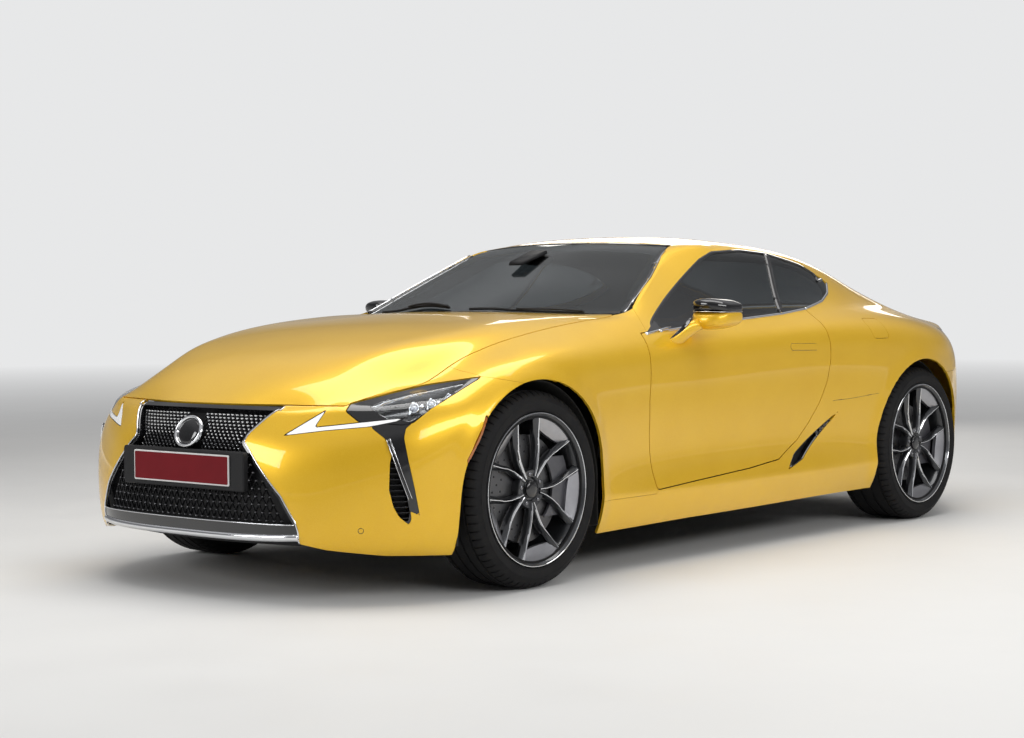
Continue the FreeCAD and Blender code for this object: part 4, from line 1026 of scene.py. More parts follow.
def beadSection(wide, tall, sink=0.003):
    w = wide / 2
    return [(-w, -sink), (-w, tall * 0.45), (-w * 0.72, tall * 0.85), (-w * 0.3, tall), (w * 0.3, tall),
        (w * 0.72, tall * 0.85), (w, tall * 0.45), (w, -sink)]


def bead(name, spots, wide, tall, sink=0.003, closed=False, lift=0.0):
    return swept(name, spots, beadSection(wide, tall, sink), closed, lift)


def bothSides(mesh):
    return joined(mesh.name, [mesh, flippedCopy(mesh, mesh.name + "Right")])


def fullTurn(steps):
    return np.linspace(0, 2 * math.pi, steps, endpoint=False)


def lathe(name, profile, steps=48, closed=False):
    # profile of (along, radius) about +X; a radius of zero closes an end
    points, rings = [], []
    for along, radius in profile:
        if radius < 1e-6:
            rings.append([len(points)] * steps)
            points.append((along, 0, 0))
        else:
            rings.append(list(range(len(points), len(points) + steps)))
            points += [(along, radius * math.cos(a), radius * math.sin(a)) for a in fullTurn(steps)]
    pairs = list(zip(rings, rings[1:])) + ([(rings[-1], rings[0])] if closed else [])
    faces = []
    for low, high in pairs:
        for k in range(steps):
            face = [low[k], low[(k + 1) % steps], high[(k + 1) % steps], high[k]]
            face = [v for i, v in enumerate(face) if v not in face[:i]]
            if len(face) > 2:
                faces.append(face)
    return solid(name, points, faces)


def facing(place, normal, up=(0, 0, 1)):
    # a frame whose X looks along the normal
    x = Vector(normal).normalized()
    y = Vector(up).cross(x).normalized()
    z = x.cross(y)
    turn = Matrix((x, y, z)).transposed().to_4x4()
    return Matrix.Translation(place) @ turn


def slab(name, wide, tall, thick, corner, steps=5, bevel=0.0):
    # a rounded plate in Y and Z, thick along X
    ring = []
    for cy, cz, start in ((1, 1, 0), (-1, 1, 90), (-1, -1, 180), (1, -1, 270)):
        for k in range(steps + 1):
            a = math.radians(start + 90 * k / steps)
            ring.append((cy * (wide / 2 - corner) + corner * math.cos(a), cz * (tall / 2 - corner)
                + corner * math.sin(a)))
    n = len(ring)
    layers = [(0, 0), (thick - bevel, 0), (thick, bevel)] if bevel else [(0, 0), (thick, 0)]
    points = [(x, y * (1 - 2 * inset / wide), z * (1 - 2 * inset / tall)) for x, inset in layers
        for y, z in ring]
    faces = [tuple(range(n)), tuple(range((len(layers) - 1) * n, len(layers) * n))]
    for layer in range(len(layers) - 1):
        faces += [(layer * n + k, layer * n + (k + 1) % n, (layer + 1) * n + (k + 1) % n, (layer + 1) * n
            + k) for k in range(n)]
    return solid(name, points, faces, smooth=False)


def moved(mesh, matrix):
    mesh.transform(matrix)
    if matrix.determinant() < 0:
        mesh.flip_normals()
    return mesh


def repeated(name, unit, spots, key, weld=0.0):
    # Geometry Nodes set the unit mesh at each spot of place, turn and size
    mesh = bpy.data.meshes.new(name)
    mesh.from_pydata([tuple(spot[0]) for spot in spots], [], [])
    for label, index in (("turn", 1), ("size", 2)):
        layer = mesh.attributes.new(label, "FLOAT_VECTOR", "POINT")
        layer.data.foreach_set("vector", [value for spot in spots for value in spot[index]])
    obj, piece = link(name, mesh), link(name + "Unit", unit)
    tree = bpy.data.node_groups.new(name + "Nodes", "GeometryNodeTree")
    tree.interface.new_socket("Geometry", in_out="INPUT", socket_type="NodeSocketGeometry")
    tree.interface.new_socket("Geometry", in_out="OUTPUT", socket_type="NodeSocketGeometry")
    make = tree.nodes.new
    start, end = make("NodeGroupInput"), make("NodeGroupOutput")
    info, put, real, weldNode, finish = (make("GeometryNode" + kind)
        for kind in ("ObjectInfo", "InstanceOnPoints", "RealizeInstances", "MergeByDistance",
        "SetMaterial"))
    info.inputs["Object"].default_value = piece
    for label, socket in (("turn", "Rotation"), ("size", "Scale")):
        named = make("GeometryNodeInputNamedAttribute")
        named.data_type = "FLOAT_VECTOR"
        named.inputs["Name"].default_value = label
        tree.links.new(named.outputs[0], put.inputs[socket])
    finish.inputs["Material"].default_value = finishes[key].material
    weldNode.inputs["Distance"].default_value = weld
    tree.links.new(start.outputs[0], put.inputs["Points"])
    tree.links.new(info.outputs["Geometry"], put.inputs["Instance"])
    tree.links.new(put.outputs[0], real.inputs[0])
    last = real
    if weld:
        tree.links.new(real.outputs[0], weldNode.inputs["Geometry"])
        last = weldNode
    tree.links.new(last.outputs[0], finish.inputs["Geometry"])
    tree.links.new(finish.outputs[0], end.inputs[0])
    obj.modifiers.new("repeat", "NODES").node_group = tree
    settle(obj)
    bpy.data.objects.remove(piece)
    return obj


def piece(mesh, key, body="root", nodes=(), slotName="black_trim"):
    obj = mesh if isinstance(mesh, bpy.types.Object) else link(mesh.name, mesh)
    return dress(obj, key, body, list(nodes))


def sheet(name, key, cuts, sunk, depth, edge=0.0011, refine=1, both=False, **dressing):
    # a sheet cut out of the skin, sunk into it and given its thickness
    mesh = pressed(clipped(name, surface, cuts, refine), sunk)
    return piece(shell(name, bothSides(mesh) if both else mesh, depth, edge), key, **dressing)


# Front grille: a recessed lattice of small bright lozenges above and slanted bars below
grille = {
    "recess": 0.026, "band": 0.013, "frame": 0.0055, "rows": 13, "rowPitch": 0.0122, "pitch": 0.0212,
    "top": 0.676,
    "lozenge": (0.0090, 0.0043), "lowTop": 0.516, "lowBottom": 0.292, "lowRows": 8, "lowPitch": 0.031,
    "bar": 0.0017,
    "badgeHeight": 0.593, "badgeRadius": 0.072, "plate": (0.463, 0.52, 0.110),
}
grilleSide = [(.386, .6885), (.304, .590), (.296, .567), (.333, .533), (.473, .382), (.522, .295),
    (.530, .262), (.530, .218)]


def makeGrille():
    inner = line["grille"].grown(-2 * grille["band"])
    sheet("grilleBacking", "plastic", [line["grille"].grown(-.002), Plane((0, 0, 1), .70),
        Plane((0, 0, -1), -.25)], grille["recess"] + .014, .006, 0, refine=0, nodes=["grille"])
    sheet("grilleBand", "gloss", [line["grille"].grown(-.0005),
        line["grille"].grown(-grille["band"], outside=True), Plane((0, 0, -1), -.27),
        Plane((0, 0, 1), .694)], .004, .034, .0006)
    piece(bothSides(bead("grilleFrame", skinPath("yz", grilleSide, .008, .009), grille["frame"], .0035)),
        "chrome", slotName="steel")

    a, b = grille["lozenge"]
    unit = solid("lozenge", [(-.012, -a, 0), (-.012, 0, b), (-.012, a, 0), (-.012, 0, -b), (0, -a, 0),
        (0, 0, b), (0, a, 0), (0, 0, -b), (.004, -a * .5, b * .1), (.004, a * .5, b * .1)],
        [(0, 3, 2, 1), (0, 1, 5, 4), (1, 2, 6, 5), (2, 3, 7, 6), (3, 0, 4, 7), (4, 5, 8), (5, 9, 8),
        (5, 6, 9), (6, 7, 9), (7, 8, 9), (7, 4, 8)], False)

    def latticePoint(y, z, deep):
        spot, normal = onSkin("yz", y, z)
        frameAt = facing(spot - normal * deep, normal)
        return frameAt.translation, frameAt

    def inside(y, z):
        # the outline is drawn from ahead, so any x does
        return inner.field(np.array([[0, y, z]]))[0] < 0

    spots, bars = [], []
    for row in range(grille["rows"]):
        z = grille["top"] - row * grille["rowPitch"]
        shift = 0.5 * (row % 2)
        for column in range(-20, 21):
            y = (column + shift) * grille["pitch"]
            nearBadge = math.hypot(y, z - grille["badgeHeight"]) < grille["badgeRadius"] + .006
            if not inside(y, z) or nearBadge:
                continue
            place, frameAt = latticePoint(y, z, grille["recess"] - .010)
            spots.append((place, frameAt.to_euler(), (1, 1, 1)))
            for way in (-0.5, 0.5):
                nextY, nextZ = y + way * grille["pitch"], z - grille["rowPitch"]
                if inside(nextY, nextZ):
                    other, _ = latticePoint(nextY, nextZ, grille["recess"] - .008)
                    bars.append((place - frameAt.col[0].xyz * .002, other, frameAt.col[0].xyz))
    piece(repeated("grilleLozenges", unit, spots, "chrome"), "chrome", slotName="steel")

    studs = []
    rows, tall = grille["lowRows"], grille["lowTop"] - grille["lowBottom"]
    for row in range(rows + 1):
        z = grille["lowTop"] - tall * row / rows
        for column in range(-19, 20):
            y = (column + 0.5 * (row % 2)) * grille["lowPitch"]
            if not inside(y, z):
                continue
            place, frameAt = latticePoint(y, z, grille["recess"] - .010)
            studs.append((place, frameAt.to_euler(), (.8, .42, .75)))
            for way in (-0.5, 0.5):
                nextY = y + way * grille["lowPitch"]
                nextZ = z - tall / rows
                if row < rows and inside(nextY, nextZ):
                    other, _ = latticePoint(nextY, nextZ, grille["recess"] - .008)
                    bars.append((place - frameAt.col[0].xyz * .002, other, frameAt.col[0].xyz))
    studUnit = solid("stud", [(x, y * .010, z * .0045) for x in (-.012, 0)
        for y, z in ((-1, 0), (0, 1), (1, 0), (0, -1))] + [(.0045, 0, 0)],
        [(0, 3, 2, 1), (0, 1, 5, 4), (1, 2, 6, 5), (2, 3, 7, 6), (3, 0, 4, 7), (4, 5, 8), (5, 6, 8),
        (6, 7, 8), (7, 4, 8)], False)
    piece(repeated("grilleStuds", studUnit, studs, "silver"), "silver", slotName="steel")
    half = grille["bar"] / 2
    barUnit = solid("bar", [(x * .004, y * half, z) for z in (0, 1)
        for x, y in ((-1, -1), (-1, 1), (.6, 1), (1, 0), (.6, -1))], [(0, 1, 2, 3, 4), (9, 8, 7, 6, 5)]
        + [(k, (k + 1) % 5, 5 + (k + 1) % 5, 5 + k) for k in range(5)], False)
    barSpots = []
    for start, end, out in bars:
        along = (end - start).normalized()
        y = along.cross(out).normalized()
        turn = Matrix((y.cross(along), y, along)).transposed()
        barSpots.append((start, turn.to_euler(), (1, 1, (end - start).length)))
    piece(repeated("grilleBars", barUnit, barSpots, "mesh"), "mesh")
    print("grille lattice:", len(spots), len(studs), len(bars))


def makeChin():
    # bright strip along the bottom, a black lip above it and a black edge below
    strip = [onSkin("yz", y, .2305 + .02 * (y / .53) ** 4 * .4) for y in np.linspace(-.528, .528, 61)]
    section = [(-.0125, -.010), (-.0125, .002), (-.009, .0055), (-.002, .008), (.006, .0075), (.0125, .001),
        (.0125, -.010)]
    piece(swept("chinStrip", strip, section), "chrome", slotName="steel")
    sheet("chinLip", "gloss", [line["grille"].grown(-.0005), Plane((0, 0, 1), .281),
        Plane((0, 0, -1), -.243)], .001, .016)
    piece(bead("chinLine", [onSkin("yz", y, .2825) for y in np.linspace(-.518, .518, 61)], .0042, .003),
        "chrome", slotName="steel")
    sheet("chinEdge", "plastic", [line["grille"].grown(-.0005), Plane((0, 0, 1), .2195)], .075, .012)


def makeBadgeAndPlates():
    spot, normal = onSkin("yz", 0, grille["badgeHeight"])
    r = grille["badgeRadius"]
    place = facing(spot - normal * .012, normal)
    squash = Matrix.Diagonal((1, 1.0, .86, 1))
    ring = lathe("badgeRing", [(-.006, r * .80), (.010, r * .80), (.016, r * .86), (.016, r * .94),
        (.010, r), (-.006, r)], 64, True)
    piece(moved(ring, place @ squash), "chrome", slotName="steel")
    dome = lathe("badgeDome", [(-.006, 0), (-.006, r * .81), (.009, r * .81), (.0125, r * .62),
        (.0145, r * .3), (.015, 0)], 64)
    piece(moved(dome, place @ squash), "gloss")
    mid, wide, tall = grille["plate"]
    backwards = Matrix.Rotation(math.pi, 4, "Z")
    front = Matrix.Translation((2.3645, 0, mid))
    piece(moved(slab("plateFront", wide, tall, .0038, .006, bevel=.0008), front), "plateRim",
        nodes=["plates"], slotName="plate")
    piece(moved(slab("plateFrontField", wide - .011, tall - .011, .0012, .004),
        Matrix.Translation((2.3679, 0, mid))), "plateRed", slotName="plate")
    piece(moved(slab("plateHolder", .66, tall + .030, .022, .012, bevel=.004),
        Matrix.Translation((2.3405, 0, mid - .002))), "plastic")
    rear = Matrix.Translation((-2.3625, 0, .617)) @ backwards
    piece(moved(slab("plateRear", wide, tall, .0038, .006, bevel=.0008), rear), "plateRim",
        slotName="plate")
    rear = Matrix.Translation((-2.3659, 0, .617)) @ backwards
    piece(moved(slab("plateRearField", wide - .011, tall - .011, .0012, .004), rear), "plateRed",
        slotName="plate")


makeGrille()
makeChin()
makeBadgeAndPlates()


# Headlamp: a dark frame and cup, three bright modules and a clear cover
lamp = {"window": [(.998, .694), (.921, .716), (.843, .733), (.741, .7505), (.632, .771), (.682, .741),
    (.727, .713), (.765, .690), (.812, .661), (.852, .641), (.925, .645), (.965, .668)],
        "modules": [(.838, .700, .016), (.775, .714, .0145), (.713, .734, .0115)], "depth": .024}
line["lampWindow"] = Outline("corner", lamp["window"], .008, 1)


def makeLamps():
    sheet("lampFrame", "gloss", within("lamp", .003) + [line["lampWindow"].grown(0, outside=True)], .0015,
        .040, both=True, nodes=["headlamps"], slotName="black_trim")
    sheet("lampCup", "gloss", [line["lampWindow"].grown(.004)], .040, .004, 0, refine=0, both=True)
    sheet("lampCover", "lens", [line["lampWindow"].grown(-.0005)], .002, .003, .0004, both=True,
        slotName="lamp_glass")
    edgeSpots = [(p - n * .004, n) for p, n in skinPath("corner",
        [(.990, .690), (.921, .7115), (.843, .7285), (.741, .746), (.655, .763)], .02)]
    piece(bothSides(bead("lampBlade", edgeSpots, .006, .002, .02)), "chrome", slotName="steel")
    rings, eyes, wedges = [], [], []
    for across, up, r in lamp["modules"]:
        spot, normal = onSkin("corner", across, up)
        look = (normal + Vector((1.2, .35, 0))).normalized()
        place = facing(spot - normal * lamp["depth"], look)
        rings.append(moved(lathe("moduleRing",
            [(-.012, r * .86), (.004, r * .86), (.008, r * 1.02), (.004, r * 1.22), (-.012, r * 1.22)], 32,
            True), place))
        eyes.append(moved(lathe("moduleEye",
            [(-.010, 0), (-.010, r * .87), (0, r * .87), (.006, r * .66), (.009, r * .36), (.010, 0)], 32),
            place))
        for turn, reach in ((20, 1.0), (110, .8), (235, .9)):
            a = math.radians(turn)
            wedge = [(-.010, 1.25, -.14), (.006, 1.3, -.2), (.006, 1.3, .2), (-.010, 1.25, .14),
                (-.004, 2.1, -.42), (.002, 2.1, -.42), (.002, 2.1, .42), (-.004, 2.1, .42)]
            points = [(x, r * (u * reach * math.cos(a) - v * math.sin(a)),
                r * (u * reach * math.sin(a) + v * math.cos(a))) for x, u, v in wedge]
            wedges.append(moved(solid("moduleWedge", points,
                [(0, 1, 2, 3), (4, 7, 6, 5), (0, 4, 5, 1), (1, 5, 6, 2), (2, 6, 7, 3), (3, 7, 4, 0)],
                False), place))
    piece(bothSides(joined("lampRings", rings)), "chrome", slotName="steel")
    piece(bothSides(joined("lampEyes", eyes)), "eye", slotName="lamp_glass")
    piece(bothSides(joined("lampWedges", wedges)), "chrome", slotName="steel")


def makeRunningLight():
    sheet("runningLight", "light", within("drl", .004), .0005, .012, both=True, slotName="lamp_glass")
    sheet("runningEdge", "gloss", within("drl", -.003) + [line["drl"].grown(-.0018, outside=True)], .002,
        .010, 0, both=True)


# The black piece below the lamp, with its vent and bright-edged bar
trim = {"vent": [(.926, .525), (.930, .475), (.9305, .41), (.920, .355), (.897, .312), (.866, .287),
    (.858, .325), (.872, .40), (.888, .455), (.905, .51)],
        "bar": [(.931, .578), (.909, .515), (.888, .455), (.868, .395), (.858, .372)], "slats": 11}
line["vent"] = Outline("corner", trim["vent"], .006, 1)


def makeTrim():
    sheet("cornerTrim", "gloss", within("trim", .001) + [line["vent"].grown(0, outside=True)]
        + beyond("lamp", .003) + beyond("drl", .003), .0005, .024, both=True)
    sheet("ventBack", "plastic", [line["vent"].grown(.003)], .030, .004, 0, refine=0, both=True)
    slats = []
    for k in range(trim["slats"]):
        z = .305 + k * .0195
        reach = [a for a in np.linspace(.86, .94, 60)
            if line["vent"].field(np.array([tuple(onSkin("corner", a, z)[0])]))[0] < 0]
        if len(reach) > 4:
            path = [onSkin("corner", a, z) for a in np.linspace(reach[0] - .003, reach[-1] + .003, 5)]
            slats.append(swept("ventSlat", path,
                [(-.0016, -.024), (-.0016, -.0025), (0, -.001), (.0016, -.0025), (.0016, -.024)]))
    piece(bothSides(joined("ventSlats", slats)), "mesh")
    path = skinPath("corner", trim["bar"], .02)
    piece(bothSides(swept("trimBar", path, [(-.0085, -.004), (-.0085, .004), (-.006, .0075), (.006, .0075),
        (.0085, .004), (.0085, -.004)])), "gloss")
    for name, offset in (("trimLineFront", .0062), ("trimLineRear", -.0062)):
        section = [(offset - .0013, .002), (offset - .0013, .0082), (offset, .0092),
            (offset + .0013, .0082), (offset + .0013, .002)]
        piece(bothSides(swept(name, path, section)), "chrome", slotName="steel")


def makeMarkers():
    sheet("sideMarkers", "amber", within("marker", .003), -.0005, .008, .0008, both=True,
        slotName="red_lamp")
    spot, normal = onSkin("corner", 1.029, .264)
    sensor = moved(lathe("parkSensor", [(-.004, 0), (-.004, .0085), (.0006, .0085), (.0011, .0075),
        (.0012, 0)], 24), facing(spot, normal))
    piece(bothSides(sensor), "paint", slotName="body_paint")
    ring = moved(lathe("sensorRing", [(-.004, .0086), (-.004, .0105), (.0004, .0105), (.0004, .0086)], 24,
        True), facing(spot, normal))
    piece(bothSides(ring), "gloss")


makeLamps()
makeRunningLight()
makeTrim()
makeMarkers()
print("lamps done")


# Wheels: five pairs of blades that open towards the rim, in a turned barrel
wheel = {"hub": 0.074, "cap": 0.031, "nutCircle": 0.056, "nut": 0.0095, "lip": 0.284, "barrel": 0.262,
    "pairs": 5, "start": 134, "step": 0.014,
         # along each blade: radius, degrees from the pair's middle, half-width, depth of the ridge
         "blade": [(.050, 7.0, .013, .020), (.080, 8.5, .0105, .017), (.125, 11.6, .0105, .017),
             (.165, 15.2, .0115, .016), (.190, 18.2, .0125, .014),
                   (.222, 20.4, .0145, .010), (.248, 21.8, .0175, .0055), (.268, 22.6, .0215, .0035)],
         "ridge": 0.0017, "bladeDepth": 0.034, "web": (0.214, 0.2725)}
wheels = {
    "wheel_fl": ("front", 1, "front_left"), "wheel_fr": ("front", -1, "front_right"),
    "wheel_rl": ("rear", 1, "rear_left"), "wheel_rr": ("rear", -1, "rear_right"),
}
# x, y and height of the centre, which is the tyre's radius too, and the tyre's width
wheelSize = {"front": (1.465, .815, .3645, .245), "rear": (-1.405, .8175, .363, .275)}
tyreShape = {"segments": 70, "tread": 0.0068, "rimRadius": 0.2845, "seat": 0.2628}


def wheelPlace(which, side):
    # the wheel's own frame: X looks outwards along the axle
    x, y, z, _ = wheelSize[which]
    return Matrix.Translation((x, side * y, z)) @ Matrix.Rotation(side * math.pi / 2, 4, "Z")


def bladeMesh(face, side):
    # a slim ridge with hollow flanks, swept along the blade's stations
    points, stations = [], wheel["blade"]
    for radius, turn, half, sunk in stations:
        a = math.radians(side * turn)
        out = Vector((0, math.cos(a), math.sin(a)))
        across = Vector((0, -math.sin(a), math.cos(a)))
        top, r = face - sunk, wheel["ridge"]
        section = [(-half, -.016), (-half * .55, -.0065), (-r, 0), (r, 0), (half * .55, -.0065),
            (half, -.016), (half * .7, -wheel["bladeDepth"]), (-half * .7, -wheel["bladeDepth"])]
        points += [out * radius + across * w + Vector((top + h, 0, 0)) for w, h in section]
    return solid("blade", points, ringFaces(len(stations), len(section)))


def webMesh(face):
    # the bright hollow between a pair of blades, next to the rim
    low, high = wheel["web"]
    points, faces = [], []
    rows, columns = 5, 9
    for layer in (0, 1):
        for i in range(rows):
            t = i / (rows - 1)
            radius = low + (high - low) * t
            for j in range(columns):
                u = 2 * j / (columns - 1) - 1
                bow = radius + (1 - t) * .020 * u * u
                a = math.radians(21.5 * u)
                deep = .024 * (1 - t) ** 1.6 + .0045
                points.append((face - deep - layer * .016, bow * math.cos(a), bow * math.sin(a)))
    n = rows * columns
    for layer in (0, 1):
        for i in range(rows - 1):
            for j in range(columns - 1):
                a = layer * n + i * columns + j
                faces.append((a, a + 1, a + columns + 1, a + columns))
    edge = ([j for j in range(columns)] + [i * columns + columns - 1 for i in range(1, rows)]
        + [(rows - 1) * columns + j for j in range(columns - 2, -1, -1)]
        + [i * columns for i in range(rows - 2, 0, -1)])
    for a, b in zip(edge, edge[1:] + edge[:1]):
        faces.append((a, b, n + b, n + a))
    return solid("web", points, faces, True)


def rimParts(which):
    width = wheelSize[which][3]
    half = width / 2 - wheel["step"]
    face = half - .002
    lip, barrel = wheel["lip"], wheel["barrel"]
    shellProfile = [(-half - .008, lip), (-half - .001, lip), (-half + .004, barrel), (half - .004, barrel),
        (half + .001, lip), (half + .0065, lip), (half + .008, lip - .0015), (half + .008, lip - .006),
        (half + .003, lip - .011), (half - .006, lip - .017), (half - .020, barrel - .006),
        (half - .055, barrel - .011), (-half + .02, barrel - .014), (-half - .008, barrel - .012)]
    base = [lathe("barrel", shellProfile, 96, True)]
    hub = lathe("hub", [(.050, .0215), (.050, wheel["hub"]), (face - .030, wheel["hub"]),
        (face - .024, wheel["hub"] - .004), (face - .026, .046), (face - .034, .040), (face - .034, .0215)],
        48, True)
    dark, bright, lines, nuts = [hub], [], [], []
    blades = {side: bladeMesh(face, side) for side in (-1, 1)}
    for pair in range(wheel["pairs"]):
        turn = Matrix.Rotation(math.radians(wheel["start"] + pair * 360 / wheel["pairs"]), 4, "X")
        for side in (-1, 1):
            dark.append(moved(blades[side].copy(), turn))
            ridge = []
            for radius, angle, _, sunk in wheel["blade"]:
                a = math.radians(side * angle)
                ridge.append((Vector((face - sunk, radius * math.cos(a), radius * math.sin(a))),
                    Vector((1, 0, 0))))
            lines.append(moved(swept("bladeLine", ridge,
                [(-.0042, -.0040), (-.0013, .0009), (.0013, .0009), (.0042, -.0040), (0, -.0055)]), turn))
        bright.append(moved(webMesh(face), turn))
        a = math.radians(wheel["start"] + (pair + .5) * 360 / wheel["pairs"])
        nut = lathe("nut", [(-.004, 0), (-.004, wheel["nut"]), (.010, wheel["nut"]),
            (.014, wheel["nut"] * .7), (.014, 0)], 6)
        nuts.append(moved(nut, Matrix.Translation((face - .034, wheel["nutCircle"] * math.cos(a),
            wheel["nutCircle"] * math.sin(a)))))
    for mesh in blades.values():
        bpy.data.meshes.remove(mesh)
    cap = lathe("cap", [(face - .034, 0), (face - .034, .0325), (face - .021, .0325), (face - .0175, .029),
        (face - .0165, .015), (face - .016, 0)], 40)
    lipRing = lathe("lip", [(half + .0075, lip - .0005), (half + .0090, lip - .0012),
        (half + .0092, lip - .0035), (half + .0070, lip - .0050), (half + .0060, lip - .0040)], 96, True)
    return {"base": joined("rim", base + dark), "web": joined("rimWebs", bright),
        "line": joined("rimLines", lines + [lipRing]), "cap": joined("rimCap", [cap]),
        "nut": joined("rimNuts", nuts)}


def tyreSegment(which):
    # one pitch of the tread: a closed profile carried through block and groove
    width, outer = wheelSize[which][3], wheelSize[which][2]
    half, deep, low, seat = width / 2, tyreShape["tread"], tyreShape["rimRadius"], tyreShape["seat"]
    crown = [(-half + .010, outer - .022), (-half + .020, outer - .010), (-half + .034, outer - .0035)]
    grooves = np.linspace(-half + .052, half - .052, 4)
    for g in grooves:
        crown += [(g - .0055, outer - .001), (g - .0040, outer - deep), (g + .0040, outer - deep),
            (g + .0055, outer - .001)]
    crown += [(half - .034, outer - .0035), (half - .020, outer - .010), (half - .010, outer - .022)]
    wall = [(half - .001, outer - .040), (half, (low + outer) / 2), (half - .0015, low + .020),
        (half - .006, low + .010), (half - .0045, low + .007), (half - .010, low + .0015)]
    foot = [(half - wheel["step"] - .0008, low), (half - wheel["step"] - .0008, seat)]
    profile = [(-a, r) for a, r in reversed(wall + foot)] + crown + wall + foot
    step = 2 * math.pi / tyreShape["segments"]
    shoulder = half - .047
    # shares of the pitch, and whether the shoulder is cut down there
    points, cuts = [], ((0.0, 0), (.80, 0), (.825, 1), (.975, 1), (1.0, 0))
    for share, cut in cuts:
        for along, radius in profile:
            edge = abs(along) > shoulder and radius > outer - .015
            onTread = abs(along) < half * .99 and radius > outer - .03
            skew = .22 * step * (along / half if onTread else math.copysign(1, along))
            r = radius - (deep * .8 if cut and edge else 0)
            a = share * step + skew * 0.6
            points.append((along, r * math.cos(a), r * math.sin(a)))
    # turned round so that the faces look outwards
    faces = [tuple(reversed(face)) for face in ringFaces(len(cuts), len(profile), ends=False)]
    return meshFrom("tyreUnit", points, faces)


def discMesh(which):
    radius = {"front": .200, "rear": .180}[which]
    ring = lathe("disc", [(.0222, .0205), (.0222, radius), (.0300, radius), (.0300, radius - .002),
        (.0415, radius - .002), (.0415, radius), (.0494, radius), (.0494, .085), (.0494, .0205)], 72, True)
    # painted shade: thin dark discs on the disc's face stand in for its holes and the shade inside them
    holeShadows = []
    for r, shift in ((radius - .018, 0), (radius - .040, .5), (radius - .062, 0)):
        for k in range(20):
            a = (k + shift) * 2 * math.pi / 20
            hole = lathe("hole", [(.0490, 0), (.0490, .0042), (.0497, .0042), (.0497, 0)], 10)
            holeShadows.append(moved(hole, Matrix.Translation((0, r * math.cos(a), r * math.sin(a)))))
    return ring, joined("discHoles", holeShadows)


def makeWheels():
    parts = {which: rimParts(which) for which in ("front", "rear")}
    tyres = {}
    for which in ("front", "rear"):
        spots = [((0, 0, 0), (k * 2 * math.pi / tyreShape["segments"], 0, 0), (1, 1, 1))
            for k in range(tyreShape["segments"])]
        made = repeated("tyre" + which, tyreSegment(which), spots, "tyre", weld=0.00002)
        bm = bmesh.new()
        bm.from_mesh(made.data)
        bmesh.ops.recalc_face_normals(bm, faces=bm.faces)
        bm.to_mesh(made.data)
        bm.free()
        made.data.shade_smooth()
        made.data.set_sharp_from_angle(angle=math.radians(35))
        tyres[which] = made
    for body, (which, side, label) in wheels.items():
        place = wheelPlace(which, side)
        for key, finish, nodes in (("base", "rimGrey", ["rim_" + label]), ("web", "silver", []),
            ("line", "chrome", []), ("cap", "gloss", []), ("nut", "darkChrome", [])):
            mesh = parts[which][key].copy()
            mesh.name = key + label
            obj = piece(moved(mesh, place), finish, body, nodes, "rim")
            if key in ("base", "web", "line"):
                obj.data.set_sharp_from_angle(angle=math.radians(38))
        mesh = tyres[which].data.copy()
        mesh.name = "tyre" + label
        piece(moved(mesh, place), "tyre", body, ["tyre_" + label], "tyre")
        disc, holeShadows = discMesh(which)
        disc.name = "disc" + label
        piece(moved(disc, place), "disc", body, ["disc_" + label],
            "cast_iron").data.set_sharp_from_angle(angle=math.radians(30))
        holeShadows.name = "discHoles" + label
        piece(moved(holeShadows, place), "plastic", body, [], "cast_iron")
    for which in ("front", "rear"):
        bpy.data.objects.remove(tyres[which])
        for mesh in parts[which].values():
            bpy.data.meshes.remove(mesh)
    print("wheels done")


makeWheels()


# Window trims: bright line below the glass, black line over it, dark bands by the windscreen
belt = {"front": [(.676, .920), (.266, .951), (-.102, .974), (-.401, .992), (-.604, 1.011), (-.815, 1.046),
    (-.935, 1.083), (-1.003, 1.128)],
        "top": [(.672, .9235), (.40, 1.047), (.095, 1.181), (-.01, 1.228), (-.113, 1.262), (-.333, 1.276),
            (-.54, 1.2645), (-.822, 1.215), (-.99, 1.149)],
        "pillar": [(-.4015, .998), (-.469, 1.13), (-.537, 1.260)],
        "screenEdge": [(.715, 1.008), (.634, 1.150), (.548, 1.268)]}


def makeWindowTrim():
    below = skinPath("xz", belt["front"], .04, .014)
    doorPart = [spot for spot in below if spot[0].x > -.612]
    rearPart = [spot for spot in below if spot[0].x < -.604]
    section = [(-.0055, -.004), (-.0055, .002), (-.003, .0042), (.003, .0042), (.0055, .002),
        (.0055, -.004)]
    for body, label, mirror in (("door_l", "Left", False), ("door_r", "Right", True)):
        mesh = swept("beltLine" + label, doorPart, section)
        piece(flippedCopy(mesh, "beltLineDoor" + label) if mirror else mesh, "chrome", body, [], "steel")
    piece(bothSides(swept("beltLineRear", rearPart, section)), "chrome", slotName="steel")
    sealSection = stripSection(.0065, .0065, -.006, .0012)
    top = skinPath("xz", belt["top"], .04, .014)
    piece(bothSides(swept("windowSeal", top, sealSection, lift=-.001)), "gloss")
    piece(bothSides(swept("pillarSeal", skinPath("xz", belt["pillar"], .03, .014),
        stripSection(.0165, .0165, -.008, .0012))), "gloss")
    edge = skinPath("yz", belt["screenEdge"], .02, .012)
    piece(bothSides(swept("screenBand", edge, stripSection(.011, .011, -.008, .001),
        lift=-.001)), "gloss")
    piece(bothSides(swept("screenLine", [(p + Vector((0, .010, .002)), n) for p, n in edge],
        stripSection(.0018, .0018, -.003, .0022))), "chrome", slotName="steel")
    top = [onSkin("yz", y, 1.3105 - .018 * (y / .53) ** 2) for y in np.linspace(-.525, .525, 41)]
    piece(swept("screenTopSeal", top, stripSection(.006, .006, -.006, .0008),
        lift=-.001), "gloss")
    sheet("screenBorder", "gloss", windscreenCuts + [line["screen"].grown(-.032, outside=True)], .0085,
        .0008, 0, refine=0)
    sheet("rearBorder", "gloss", rearScreenCuts + [line["rearScreen"].grown(-.030, outside=True)], .0085,
        .0008, 0, refine=0)


